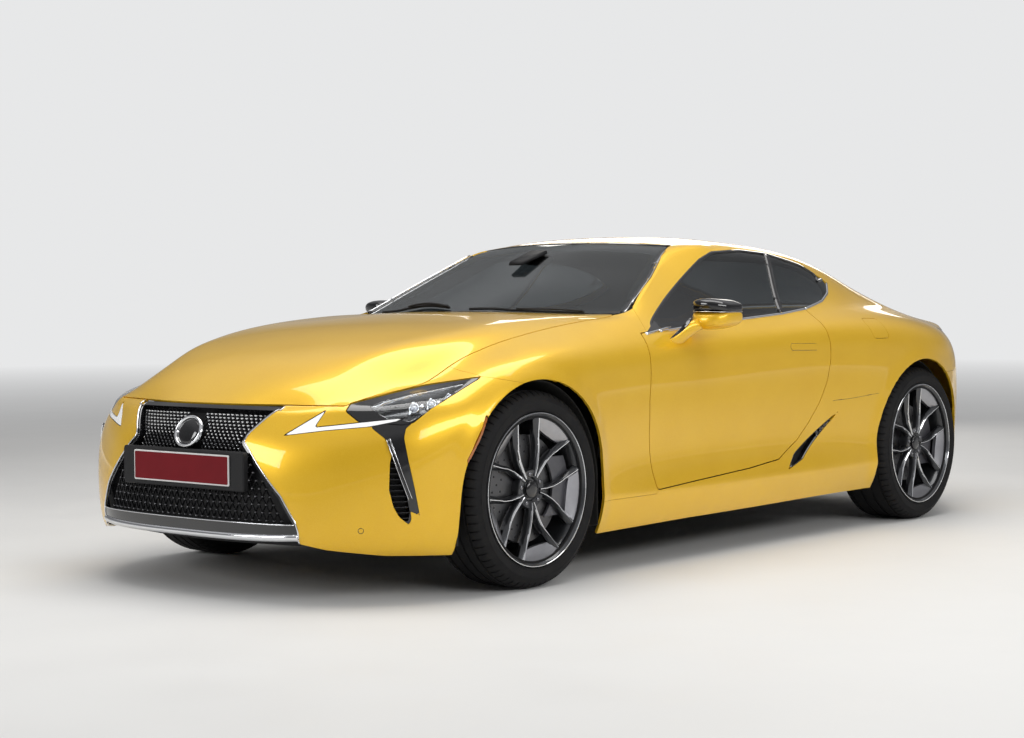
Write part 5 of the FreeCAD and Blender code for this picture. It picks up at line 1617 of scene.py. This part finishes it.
def lofted(name, rings, rounds=1, smooth=True):
    count = len(rings[0])
    points = [p for ring in rings for p in ring]
    obj = link(name, solid(name, points, ringFaces(len(rings), count), smooth))
    if rounds:
        soft = obj.modifiers.new("soft", "SUBSURF")
        soft.levels = soft.render_levels = rounds
        settle(obj)
    mesh = obj.data
    bpy.data.objects.remove(obj)
    return mesh


# Door mirror: body-coloured arm and lower shell, bright line, black cap
def mirrorBody(name, lowShare, highShare, grow=0.0):
    # stations from the inner to the outer end of the housing: y, front x, back x, bottom and top z
    stations = [(.866, .388, .318, .960, 1.048), (.884, .408, .304, .938, 1.060),
        (.930, .418, .283, .929, 1.066), (.985, .406, .258, .938, 1.058), (1.016, .375, .244, .952, 1.044),
        (1.026, .335, .246, .972, 1.030)]
    points, turns = [], 18
    for y, front, back, bottom, top in stations:
        foot, crest = bottom + (top - bottom) * lowShare, bottom + (top - bottom) * highShare
        midX, halfX = (front + back) / 2, (front - back) / 2 + grow
        midZ, halfZ = (foot + crest) / 2, (crest - foot) / 2
        for k in range(turns):
            c, s = math.cos(2 * math.pi * k / turns), math.sin(2 * math.pi * k / turns)
            points.append((midX + halfX * math.copysign(abs(c) ** (.72 if c > 0 else .4), c), y, midZ
                + halfZ * math.copysign(abs(s) ** .55, s)))
    rings = [points[k:k + turns] for k in range(0, len(points), turns)]
    return lofted(name, rings, 2)


def makeMirrors():
    parts = [("mirrorLower", mirrorBody("mirrorLower", 0.0, .56), "paint", "body_paint"),
        ("mirrorCap", mirrorBody("mirrorCap", .57, 1.0), "gloss", "black_trim"),
        ("mirrorLine", mirrorBody("mirrorLine", .545, .60, .0010), "chrome", "steel")]
    rings = []
    for x, y, z, wide, deep in ((.502, .845, .872, .052, .016), (.488, .872, .896, .046, .015),
        (.452, .892, .928, .044, .015), (.410, .905, .955, .048, .020), (.375, .925, .965, .050, .022)):
        rings.append([(x + wide * math.cos(a) + .3 * deep * math.sin(a), y - deep * .6 * math.sin(a), z
            + deep * math.sin(a)) for a in fullTurn(16)])
    parts.append(("mirrorArm", lofted("mirrorArm", rings, 1), "paint", "body_paint"))
    strip = [[(x + .038, y + .004, z + .012 + u) for u in (-.006, .006)]
        for x, y, z in ((.502, .850, .880), (.488, .874, .904), (.452, .890, .938), (.410, .896, .972))]
    band = [[p[0], (p[0][0] - .02, p[0][1] + .010, p[0][2]),
        (p[1][0] - .02, p[1][1] + .006, p[1][2] + .004), p[1]] for p in strip]
    parts.append(("mirrorStrip", lofted("mirrorStrip", band, 1), "gloss", "black_trim"))
    face = [(.885, .952), (.93, .944), (.985, .953), (1.006, .985), (1.0, 1.030), (.95, 1.044),
        (.90, 1.040), (.880, 1.0)]
    glass = [[(.2885 - (y - .93) * .47 - shift, y, z) for y, z in face] for shift in (0, .0015)]
    parts.append(("mirrorGlass", lofted("mirrorGlass", glass, 0, False), "chrome", "glass"))
    footMesh = clipped("mirrorFoot", surface,
        [Outline("xz", [(.676, .9215), (.560, .9305), (.545, .975), (.600, .952)], .003, 1)], 1)
    parts.append(("mirrorFoot", shellMesh("mirrorFoot", pressed(footMesh, -.001), .006), "gloss",
        "black_trim"))
    for body, label, flip in (("door_l", "left", False), ("door_r", "right", True)):
        for name, mesh, key, slotName in parts:
            copy = mesh.copy()
            copy.name = name + label
            if flip:
                copy = moved(copy, Matrix.Diagonal((1, -1, 1, 1)))
            piece(copy, key, body, ["mirror_" + label] if name == "mirrorLower" else [], slotName)
    for part in parts:
        bpy.data.meshes.remove(part[1])


def shellMesh(name, mesh, depth, edge=.0006):
    obj = shell(name, mesh, depth, edge)
    made = obj.data
    bpy.data.objects.remove(obj)
    return made


# Door handles with a black ring of painted shadow round each, the black slot at the foot of each door's rear
# edge and the seam behind it
def makeSides():
    for body, label, flip in (("door_l", "Left", False), ("door_r", "Right", True)):
        mesh = clipped("doorHandle" + label, surface, within("handle", .002))
        mesh = flippedCopy(mesh, "handle" + label) if flip else mesh
        piece(shell("doorHandle" + label, pressed(mesh, -.0022), .006, .0012), "paint", body, [],
            "body_paint")
        # painted shadow: the black ring round the handle stands in for the shade in the gap between handle
        # and door
        ring = clipped("handleGap" + label, surface, within("handle", -.0012)
            + [line["handle"].grown(-.0012, outside=True)])
        ring = flippedCopy(ring, "handleRing" + label) if flip else ring
        piece(shell("handleGap" + label, pressed(ring, -.0004), .002, 0), "gloss", body, [], "black_trim")
    sheet("sideSlot", "plastic", [line["slot"].grown(.002)] + beyond("door", shut), .030, .004, 0, refine=0,
        both=True)
    sheet("slotEdge", "gloss", within("slot", .001) + [line["slot"].grown(-.003, outside=True)]
        + beyond("door", shut), .0005, .031, 0, refine=0, both=True)
    # the seam that runs from the door to the rear arch
    spots = skinPath("xz", [(-.640, .598), (-.80, .604), (-1.008, .618)], .02, .02)
    piece(bothSides(swept("quarterSeam", spots,
        stripSection(.0007, .0007, -.002, .00035))), "gloss")


# Rear: slim red lamps with a dark outline, a red bar between bright lines on the lid, a dark lower panel
def makeRear():
    sheet("tailLamps", "red", within("tailLamp", .004) + beyond("boot", shut) + beyond("rearBumper", .003)
        + [behind], .001, .030, nodes=["tail_lamps"], slotName="red_lamp")
    sheet("tailLampBorder", "gloss", within("tailLamp", .0)
        + [line["tailLamp"].grown(-.006, outside=True), behind] + beyond("boot", shut)
        + beyond("rearBumper", .002), -.0004, .010, 0)
    sheet("lidBar", "red", [Plane((1, 0, 0), -2.2), Plane((0, 0, 1), .872), Plane((0, 0, -1), -.802),
        Plane((0, 1, 0), .545), Plane((0, -1, 0), .545)], -.0035, .012, body="boot_lid", nodes=[],
        slotName="red_lamp")
    for z, name in ((.875, "lidBarTop"), (.799, "lidBarFoot")):
        spots = [onSkin("rear", y, z) for y in np.linspace(-.545, .545, 41)]
        piece(bead(name, spots, .006, .006), "chrome", "boot_lid", [], "steel")
    sheet("rearLower", "plastic", [Plane((1, 0, 0), -1.9), Plane((0, 0, 1), .345), Plane((0, 1, 0), .62),
        Plane((0, -1, 0), .62)], -.003, .012)


def makeGutter():
    # the dark channel ahead of the boot lid, low enough for the lid's front edge to swing above it
    sheet("lidGutter", "plastic", [Plane((1, 0, 0), -1.816), Plane((-1, 0, 0), 1.874),
        Plane((0, 1, 0), .496), Plane((0, -1, 0), .496), high], .026, .004, 0, refine=0)


def makeLiners():
    # the wheel housings, drawn in a little so that they stay behind the skin
    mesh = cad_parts["wheel_liners"].data.copy()
    bm = bmesh.new()
    bm.from_mesh(mesh)
    bmesh.ops.remove_doubles(bm, verts=bm.verts, dist=1e-5)
    for v in bm.verts:
        v.co.y = math.copysign(min(abs(v.co.y), .880 if v.co.x < -1.0 else .893), v.co.y)
    bm.to_mesh(mesh)
    bm.free()
    mesh.materials.clear()
    mesh.name = "wheelHousings"
    piece(mesh, "under", nodes=["wheel_liners"], slotName="underbody")


# Wipers: two arms and blades at the foot of the windscreen
wiper = {"blades": [((.80, .62), (.905, .10)), ((.895, -.02), (.800, -.50))]}


def makeWipers():
    made = []
    for (x0, y0), (x1, y1) in wiper["blades"]:
        spots = []
        for t in np.linspace(0, 1, 20):
            x, y = x0 + (x1 - x0) * t, y0 + (y1 - y0) * t
            place, normal = onSkin("xy", x - .012 - .03 * math.sin(math.pi * t) * .3, y)
            spots.append((place, normal))
        made.append(swept("wiperBlade", spots, stripSection(.005, .003, .001, .010),
            lift=.001))
        made.append(swept("wiperArm", [(p + n * (.010 + .004 * math.sin(math.pi * k / 11))
            + Vector((.010, 0, 0)), n) for k, (p, n) in enumerate(spots[:12])],
            stripSection(.006, .004, 0, .007)))
    piece(joined("wipers", made), "plastic")


makeWindowTrim()
makeMirrors()
makeSides()
makeRear()
makeGutter()
makeLiners()
makeWipers()
print("trims done")


# Interior: seats, dash, console, steering wheel, linings
seat = {"across": .380, "backPath": [(-.235, .385, .96), (-.290, .45, 1.0), (-.345, .56, 1.0),
    (-.395, .67, .97), (-.435, .77, .86), (-.458, .835, .62), (-.466, .862, .30)],
        "cushionPath": [(.228, .335, .55), (.205, .352, .84), (.12, .368, .97), (-.02, .365, 1.0),
            (-.16, .352, 1.0), (-.262, .345, .93), (-.292, .340, .60)],
        "headPath": [(.805, .55), (.835, .86), (.885, 1.0), (.935, .92), (.965, .58)]}


def backRing(x, z, share, side):
    lean = Vector((-.24, 0, .48)).normalized()
    forward = Vector((lean.z, 0, -lean.x))
    half = [(0, .018), (.055, .016), (.105, .020), (.150, .058), (.186, .072), (.222, .050), (.238, .002),
        (.226, -.056), (.150, -.082), (0, -.088)]
    outline = half + [(-u, v) for u, v in half[-2:0:-1]]
    return [Vector((x, side * seat["across"] + u * share, z)) + forward * (v * (.55 + .45 * share))
        for u, v in outline]


def cushionRing(x, z, share, side):
    half = [(0, .012), (.055, .010), (.108, .014), (.150, .044), (.190, .056), (.226, .036), (.242, -.010),
        (.234, -.080), (.15, -.092), (0, -.094)]
    outline = half + [(-u, v) for u, v in half[-2:0:-1]]
    return [(x, side * seat["across"] + u * (.72 + .28 * share), z + v * share) for u, v in outline]


def makeSeats():
    backs, cushions, heads, piping, bases = [], [], [], [], []
    for side in (1, -1):
        backs.append(lofted("seatBack", [backRing(x, z, share, side) for x, z, share in seat["backPath"]],
            2))
        cushions.append(lofted("seatCushion",
            [cushionRing(x, z, share, side) for x, z, share in seat["cushionPath"]], 2))
        rings = []
        for z, share in seat["headPath"]:
            x = -.455 - (z - .80) * .42
            rings.append([(x + .052 * math.cos(a) * share, side * seat["across"]
                + math.copysign(abs(math.sin(a)) ** .6, math.sin(a)) * .135 * (.55 + .45 * share), z)
                for a in fullTurn(18)])
        heads.append(lofted("headRest", rings, 2))
        for u in (-.107, .107):
            spots = [(Vector((x, side * seat["across"] + u, z))
                + Vector((.894, 0, .447)) * (.0185 * (.55 + .45 * share)), Vector((.894, 0, .447)))
                for x, z, share in seat["backPath"][1:-1]]
            piping.append(swept("seatPiping", spots, beadSection(.005, .004, .002)))
            spots = [(Vector((x, side * seat["across"] + u, z + .0125 * share)), Vector((0, 0, 1)))
                for x, z, share in seat["cushionPath"][1:-1]]
            piping.append(swept("seatPiping", spots, beadSection(.005, .004, .002)))
        base = []
        for z, share in ((.192, .86), (.215, .94), (.27, .96)):
            base.append([(-.04 + .22 * share * math.copysign(abs(math.cos(a)) ** .4, math.cos(a)),
                side * seat["across"] + .205 * share * math.copysign(abs(math.sin(a)) ** .4, math.sin(a)),
                z) for a in fullTurn(24)])
        bases.append(lofted("seatBase", base, 0))
    for name, meshes in (("seatBacks", backs), ("seatCushions", cushions), ("headRests", heads)):
        obj = piece(joined(name, meshes), "leather", nodes=["front_seats"] if name == "seatBacks" else [],
            slotName="leather")
    piece(joined("seatPiping", piping), "stitch", slotName="leather")
    piece(joined("seatBases", bases), "plastic")


def makeRearSeat():
    parts = []
    for side in (1, -1):
        rings = []
        for x, z, share in ((-.655, .40, .5), (-.68, .42, .9), (-.80, .43, 1.0), (-.93, .41, .95),
            (-.965, .40, .6)):
            rings.append([(x, side * .315 + u * .245 * (.7 + .3 * share), z + v * .07 * share)
                for u, v in ((0, .7), (.4, .72), (.75, 1.0), (1, .6), (1, -1), (.4, -1.9), (-.4, -1.9),
                (-1, -1), (-1, .6), (-.75, 1.0), (-.4, .72))])
        parts.append(lofted("rearCushion", rings, 2))
        rings = []
        for x, z, share in ((-.93, .45, .8), (-.965, .52, 1.0), (-1.02, .66, 1.0), (-1.075, .80, .9),
            (-1.09, .855, .55)):
            rings.append([(x + v * .05, side * .315 + u * .245 * (.75 + .25 * share), z + v * .02)
                for u, v in ((0, .55), (.4, .6), (.75, 1.0), (1, .5), (1, -.9), (.4, -1.1), (-.4, -1.1),
                (-1, -.9), (-1, .5), (-.75, 1.0), (-.4, .6))])
        parts.append(lofted("rearBack", rings, 2))
    obj = piece(joined("rearSeat", parts), "leather", nodes=["rear_seat"], slotName="leather")
    shelf = [[(x, y, z) for x, z in ((-1.10, .86), (-1.13, .905), (-1.50, .935), (-1.55, .90),
        (-1.12, .845))] for y in np.linspace(-.56, .56, 9)]
    piece(lofted("rearShelf", shelf, 0), "carpet", slotName="dash")


# Dash: a long low pad with a hood over the dials, a shelf and a lower part
dash = {"hood": .38, "hoodWide": .20, "wide": .715}


def makeDash():
    rings = []
    for y in np.linspace(-dash["wide"], dash["wide"], 45):
        hood = math.exp(-((y - dash["hood"]) / dash["hoodWide"]) ** 4)
        end = min(1.0, (dash["wide"] - abs(y)) / .06 + .25)
        wave = .010 * math.cos(y / dash["wide"] * math.pi)
        rings.append([(.868 - .11 * (y / .72) ** 2, y, .925), (.74, y, .932 + wave * .4),
            (.60, y, .925 + .010 * hood), (.50 - .030 * hood, y, .912 + .022 * hood),
            (.425 - .040 * hood, y, .893 + .030 * hood), (.412 - .040 * hood, y, .880 + .028 * hood),
            (.430 + .020 * hood, y, .868 + .020 * hood), (.452 + .030 * hood, y, .815), (.432, y, .800),
            (.395 + .02 * (1 - end), y, .775), (.388, y, .735), (.410, y, .715), (.430, y, .700),
            (.425, y, .645), (.47, y, .585), (.60, y, .570), (.80, y, .70),
            (.86 - .11 * (y / .72) ** 2, y, .88)])
    piece(lofted("dashPad", rings, 1), "dash", nodes=["dashboard"], slotName="dash")
    spots = [(Vector((.386, y, .755)), Vector((-1, 0, 0))) for y in np.linspace(-.68, .12, 20)]
    piece(swept("dashTrim", spots, stripSection(.011, .009, 0, .006)), "silver",
        slotName="steel")
    screen = lofted("dashScreen", [[(.405 + .006 * k, y, z)
        for y, z in ((-.17, .822), (.14, .822), (.145, .900), (-.175, .900))] for k in range(2)], 0, False)
    piece(screen, "dial", slotName="glass")
    dial = lofted("dialPanel", [[(.452 - .004 * k, .38 + .135 * math.cos(a) * (1 - .02 * k), .855
        + .040 * math.sin(a)) for a in fullTurn(36)] for k in range(2)], 0, False)
    piece(dial, "dial", slotName="glass")
    vents = []
    for y in (-.60, -.30, .62):
        for k in range(5):
            z = .752 + .011 * (k - 2)
            vents.append(lofted("vent", [[(.384 + u, yy, z + v)
                for u, v in ((0, -.002), (.012, -.001), (.012, .002), (0, .001))]
                for yy in (y - .055, y + .055)], 0, False))
    piece(joined("dashVents", vents), "gloss")


def makeConsole():
    rings = []
    for x, wide, low, top in ((-.478, .080, .335, .56), (-.46, .098, .33, .60), (-.20, .104, .33, .612),
        (-.02, .104, .33, .600), (.06, .104, .33, .575), (.25, .104, .33, .590), (.40, .104, .34, .612),
        (.60, .10, .36, .618)):
        rings.append([(x, u * wide, low + (top - low) * v)
            for u, v in ((-1, 0), (1, 0), (1.0, .70), (.96, .93), (.82, 1.0), (0, 1.0), (-.82, 1.0),
            (-.96, .93), (-1.0, .70))])
    piece(lofted("console", rings, 1), "dash", nodes=["centre_console"], slotName="dash")
    lid = lofted("armRest", [[(x, u * .088, .600 + v * .030 * share)
        for u, v in ((-1, 0), (-.96, .7), (-.7, 1), (0, 1.12), (.7, 1), (.96, .7), (1, 0))]
        for x, share in ((-.44, .3), (-.42, .9), (-.25, 1), (-.10, .9), (-.08, .3))], 1)
    obj = piece(lid, "leather", slotName="leather")
    stalk = [[(.20 + (.004 if z > .62 else 0) + r * math.cos(a), r * math.sin(a) * 1.15, z)
        for a in fullTurn(20)] for z, r in ((.585, .030), (.590, .030), (.600, .012), (.640, .012),
        (.652, .024), (.680, .027), (.694, .018))]
    piece(lofted("gearKnob", stalk, 1), "gloss")
    plate = lofted("gearPlate", [[(.20 + u * .12, v * .075, z)
        for u, v in ((-1, -1), (1, -1), (1, 1), (-1, 1))] for z in (.584, .5895)], 0, False)
    piece(plate, "silver", slotName="steel")


steering = {"centre": (.300, .380, .820), "tilt": 24, "radius": .180, "grip": .0155}


def makeSteeringWheel():
    tilt = math.radians(steering["tilt"])
    centre = Vector(steering["centre"])
    up, across, out = Vector((math.sin(tilt), 0, math.cos(tilt))), Vector((0, 1,
        0)), Vector((-math.cos(tilt), 0, math.sin(tilt)))

    def at(u, v, w=0.0):
        return centre + across * u + up * v + out * w

    rings = []
    steps, turns, grip = 64, 14, steering["grip"]
    for a in fullTurn(steps):
        r = steering["radius"] * (1 - .045 * max(0.0, -math.sin(a)) ** 6)
        ring = []
        for b in fullTurn(turns):
            reach = r + grip * math.cos(b)
            ring.append(at(reach * math.cos(a), reach * math.sin(a), grip * 1.15 * math.sin(b)))
        rings.append(ring)
    points = [p for ring in rings for p in ring]
    piece(solid("wheelGrip", points, ringFaces(steps, turns, True)), "leather", "steering_wheel",
        ["steering_wheel"], "leather")
    hub = [[at(u * wide, v * tall - .010, w)
        for u, v in ((-1, .5), (-.7, .95), (0, 1.05), (.7, .95), (1, .5), (.82, -.6), (.5, -1), (-.5, -1),
        (-.82, -.6))] for w, wide, tall in ((-.040, .040, .035), (-.028, .075, .062), (-.004, .088, .074),
        (.010, .078, .064), (.016, .04, .03))]
    piece(lofted("wheelHub", hub, 1), "dash", "steering_wheel", slotName="dash")
    spokes = []
    for a, wide in ((8, .026), (172, .026), (-68, .014), (-112, .014)):
        direction = Vector((math.cos(math.radians(a)), math.sin(math.radians(a))))
        aside = Vector((-direction.y, direction.x))
        spokes.append(lofted("spoke", [[at(*(direction * r + aside * wide * u * s), w + lift)
            for u, w in ((-1, -.006), (1, -.006), (1, .004), (.6, .008), (-.6, .008), (-1, .004))]
            for r, s, lift in ((.060, 1.25, -.006), (.12, 1.0, -.002), (.172, 1.1, 0))], 1))
    piece(joined("wheelSpokes", spokes), "silver", "steering_wheel", slotName="steel")
    column = [[at(r * math.cos(a), r * math.sin(a), w) for a in fullTurn(24)]
        for w, r in ((-.145, .040), (-.075, .044), (-.052, .040), (-.050, .012))]
    piece(lofted("columnShroud", column, 0), "dash", slotName="dash")


def makeLinings():
    edges = [line[name].grown(.008, outside=True)
        for name in ("screen", "rearScreen", "sideWindow", "quarterWindow")]
    sheet("headLining", "carpet", [leftHalf, Plane((0, 0, -1), -.99), Plane((-1, 0, 0), 1.66),
        Plane((1, 0, 0), .62)] + edges, .040, .004, 0, refine=0, both=True, slotName="dash")
    for body, sign, label in (("door_l", 1, "Left"), ("door_r", -1, "Right")):
        rings = []
        for x, low, top in ((.70, .40, .90), (.66, .36, .925), (.40, .31, .945), (.0, .30, .962),
            (-.35, .32, .972), (-.53, .38, .975), (-.58, .50, .96)):
            card = [(.792, low), (.770, low + .02), (.766, .44), (.742, .50), (.738, .62), (.716, .640),
                (.716, .668), (.744, .690), (.758, .80), (.768, top - .02), (.792, top)]
            card = [(yy if x > -.55 and x < .68 else min(.792, yy + .02), zz) for yy, zz in card]
            rings.append([(x, sign * yy, zz) for yy, zz in card])
        piece(lofted("doorCard" + label, rings, 1), "leather", body, [], "leather")
        pull = [(Vector((x, sign * .742, .745 + .012 * math.cos(x * 5))), Vector((0, -sign, 0)))
            for x in np.linspace(-.28, .22, 16)]
        piece(swept("doorPull" + label, pull, stripSection(.008, .006, 0, .008)),
            "silver", body, [], "steel")
    rim = [(-.075, 1.205), (.075, 1.205), (.095, 1.232), (.088, 1.262), (-.088, 1.262), (-.095, 1.232)]
    case = [[(x + (z - 1.23) * .2, y * share, 1.235 + (z - 1.235) * share) for y, z in rim]
        for x, share in ((.300, .6), (.312, .96), (.326, 1.0), (.335, .9))]
    piece(lofted("innerMirror", case, 1), "dash", slotName="dash")
    sensor = [[(.318 + .16 * t, y, 1.262 - .052 * t + z)
        for y, z in ((-.05 + .012 * t, 0), (.05 - .012 * t, 0), (.045 - .012 * t, .016),
        (-.045 + .012 * t, .016))] for t in (0, .5, 1.0)]
    piece(lofted("screenSensor", sensor, 0), "plastic")


makeSeats()
makeRearSeat()
makeDash()
makeConsole()
makeSteeringWheel()
makeLinings()
print("interior done")


# Floor, backdrop and light
studio = {"floorRadius": 45.0, "floor": (0.70, 0.70, 0.69), "backdrop": (0.80, 0.805, 0.81),
    "worldLight": 0.52,
          "fade": (7.0, 26.0), "skyShades": ((0.10, 0.62), (0.22, 0.30), (0.42, 0.42), (0.6, 1.0))}


def makeStage():
    ring = [(studio["floorRadius"] * math.cos(a), studio["floorRadius"] * math.sin(a), 0.0)
        for a in np.radians(np.arange(0, 360, 5))]
    floor = link("floor", meshFrom("floor", ring, [list(range(len(ring)))], smooth=False))
    m = Finish("floorPaint", specular=0.25)
    cloud = m.noise(0.6, 4.0)
    m.set(color=m.between(m.span(cloud, 0.3, 0.7), studio["floor"],
        tuple(c * 0.96 for c in studio["floor"])), rough=m.span(m.noise(3.0), 0.3, 0.7, (0.55, 0.7)))
    out = m.tree.nodes["Material Output"]
    # far off, the floor passes into the backdrop's colour, whatever the ray
    away = m.node("VectorMath", {"operation": "LENGTH"}, output=1, Vector=m.place())
    fade = m.span(away, *studio["fade"])
    glow = m.node("Emission", Color=(*studio["backdrop"], 1.0), Strength=1.0)
    mix = m.node("MixShader", Fac=fade, Shader=Wire(m, m.surface.outputs[0]), Shader_001=glow)
    m.tree.links.new(mix.socket, out.inputs["Surface"])
    floor.data.materials.append(m.material)

    world = bpy.data.worlds.new("studio")
    bpy.context.scene.world = world
    world.use_nodes = True
    nodes, links = world.node_tree.nodes, world.node_tree.links
    nodes.clear()
    path, coord, split, ramp = (nodes.new("ShaderNode" + kind)
        for kind in ("LightPath", "TexCoord", "SeparateXYZ", "ValToRGB"))
    links.new(coord.outputs["Generated"], split.inputs[0])
    links.new(split.outputs[2], ramp.inputs[0])
    ramp.color_ramp.elements[0].position, ramp.color_ramp.elements[0].color = 0.0, (0.50, 0.50, 0.51, 1)
    ramp.color_ramp.elements[1].position, ramp.color_ramp.elements[1].color = 1.0, (1.0, 1.0, 1.0, 1)
    for place, shade in studio["skyShades"]:
        stop = ramp.color_ramp.elements.new(place)
        stop.color = (shade, shade, shade * 1.02, 1)
    # camera and glass rays see the plain backdrop, the others the shaded light
    shown, lit, out, mix = (nodes.new("ShaderNode" + kind)
        for kind in ("Background", "Background", "OutputWorld", "MixShader"))
    shown.inputs[0].default_value = (*studio["backdrop"], 1)
    links.new(ramp.outputs[0], lit.inputs[0])
    lit.inputs[1].default_value = studio["worldLight"]
    seen = nodes.new("ShaderNodeMath")
    seen.operation = "MAXIMUM"
    links.new(path.outputs["Is Camera Ray"], seen.inputs[0])
    links.new(path.outputs["Is Transmission Ray"], seen.inputs[1])
    links.new(seen.outputs[0], mix.inputs[0])
    links.new(lit.outputs[0], mix.inputs[1])
    links.new(shown.outputs[0], mix.inputs[2])
    links.new(mix.outputs[0], out.inputs[0])


def softbox(name, place, aim, size, power, shade=(1, 1, 1)):
    data = bpy.data.lights.new(name, "AREA")
    data.shape, data.size, data.size_y, data.energy, data.color = "RECTANGLE", size[0], size[1], power, shade
    lamp = bpy.data.objects.new(name, data)
    lamp.location = place
    lamp.rotation_euler = (Vector(aim) - Vector(place)).to_track_quat("-Z", "Y").to_euler()
    bpy.context.scene.collection.objects.link(lamp)


bpy.context.scene.view_settings.view_transform = "Standard"
makeStage()
softbox("overhead", (0.6, 0.4, 5.2), (0.3, 0, 0.6), (6.5, 3.2), 230, (1.0, 0.985, 0.96))
softbox("side", (1.5, 7.5, 3.4), (0.2, 0.4, 0.6), (7.0, 1.6), 240)
softbox("front", (8.0, -2.2, 2.8), (1.6, 0, 0.5), (3.6, 1.8), 150)
softbox("back", (-6.5, -3.5, 3.2), (-1.0, 0, 0.8), (4.0, 2.0), 80, (1.0, 0.96, 0.9))
print("stage and light done")

# Which finish a carried-over CAD node wears
worn = {
    "under": ["wheel_liners", "floor_pan"],
    "cast": ["front_subframe", "rear_subframe", "differential", "suspension_arms", "drive_shafts",
        "rear_knuckles", "knuckle_left", "knuckle_right"],
    "darkChrome": ["exhaust"],
    "plastic": ["engine", "cowl"],
    "caliper": ["front_caliper_left", "front_caliper_right", "rear_calipers"],
    "disc": ["disc_front_left", "disc_front_right", "disc_rear_left", "disc_rear_right"],
    "paint": ["fenders", "front_bumper", "body_sides", "door_left", "door_right", "bonnet", "boot_lid",
        "rear_bumper", "roof_panel", "roof_rails", "mirror_left", "mirror_right"],
    "mesh": ["grille"],
    "glass": ["windscreen", "rear_screen"],
    "sideGlass": ["quarter_glass", "door_glass_left", "door_glass_right"],
    "lens": ["headlamps"],
    "red": ["tail_lamps"],
    "tyre": ["tyre_front_left", "tyre_front_right", "tyre_rear_left", "tyre_rear_right"],
    "rimGrey": ["rim_front_left", "rim_front_right", "rim_rear_left", "rim_rear_right"],
    "leather": ["front_seats", "rear_seat", "steering_wheel"],
    "dash": ["dashboard", "centre_console"],
    "plateRed": ["plates"],
}
nodeFinish = {node: key for key, nodes in worn.items() for node in nodes}
for name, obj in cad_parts.items():
    for slot in obj.material_slots:
        slot.material = finishes[nodeFinish[name]].material

skin.data.materials.clear()
bpy.data.objects.remove(skin)
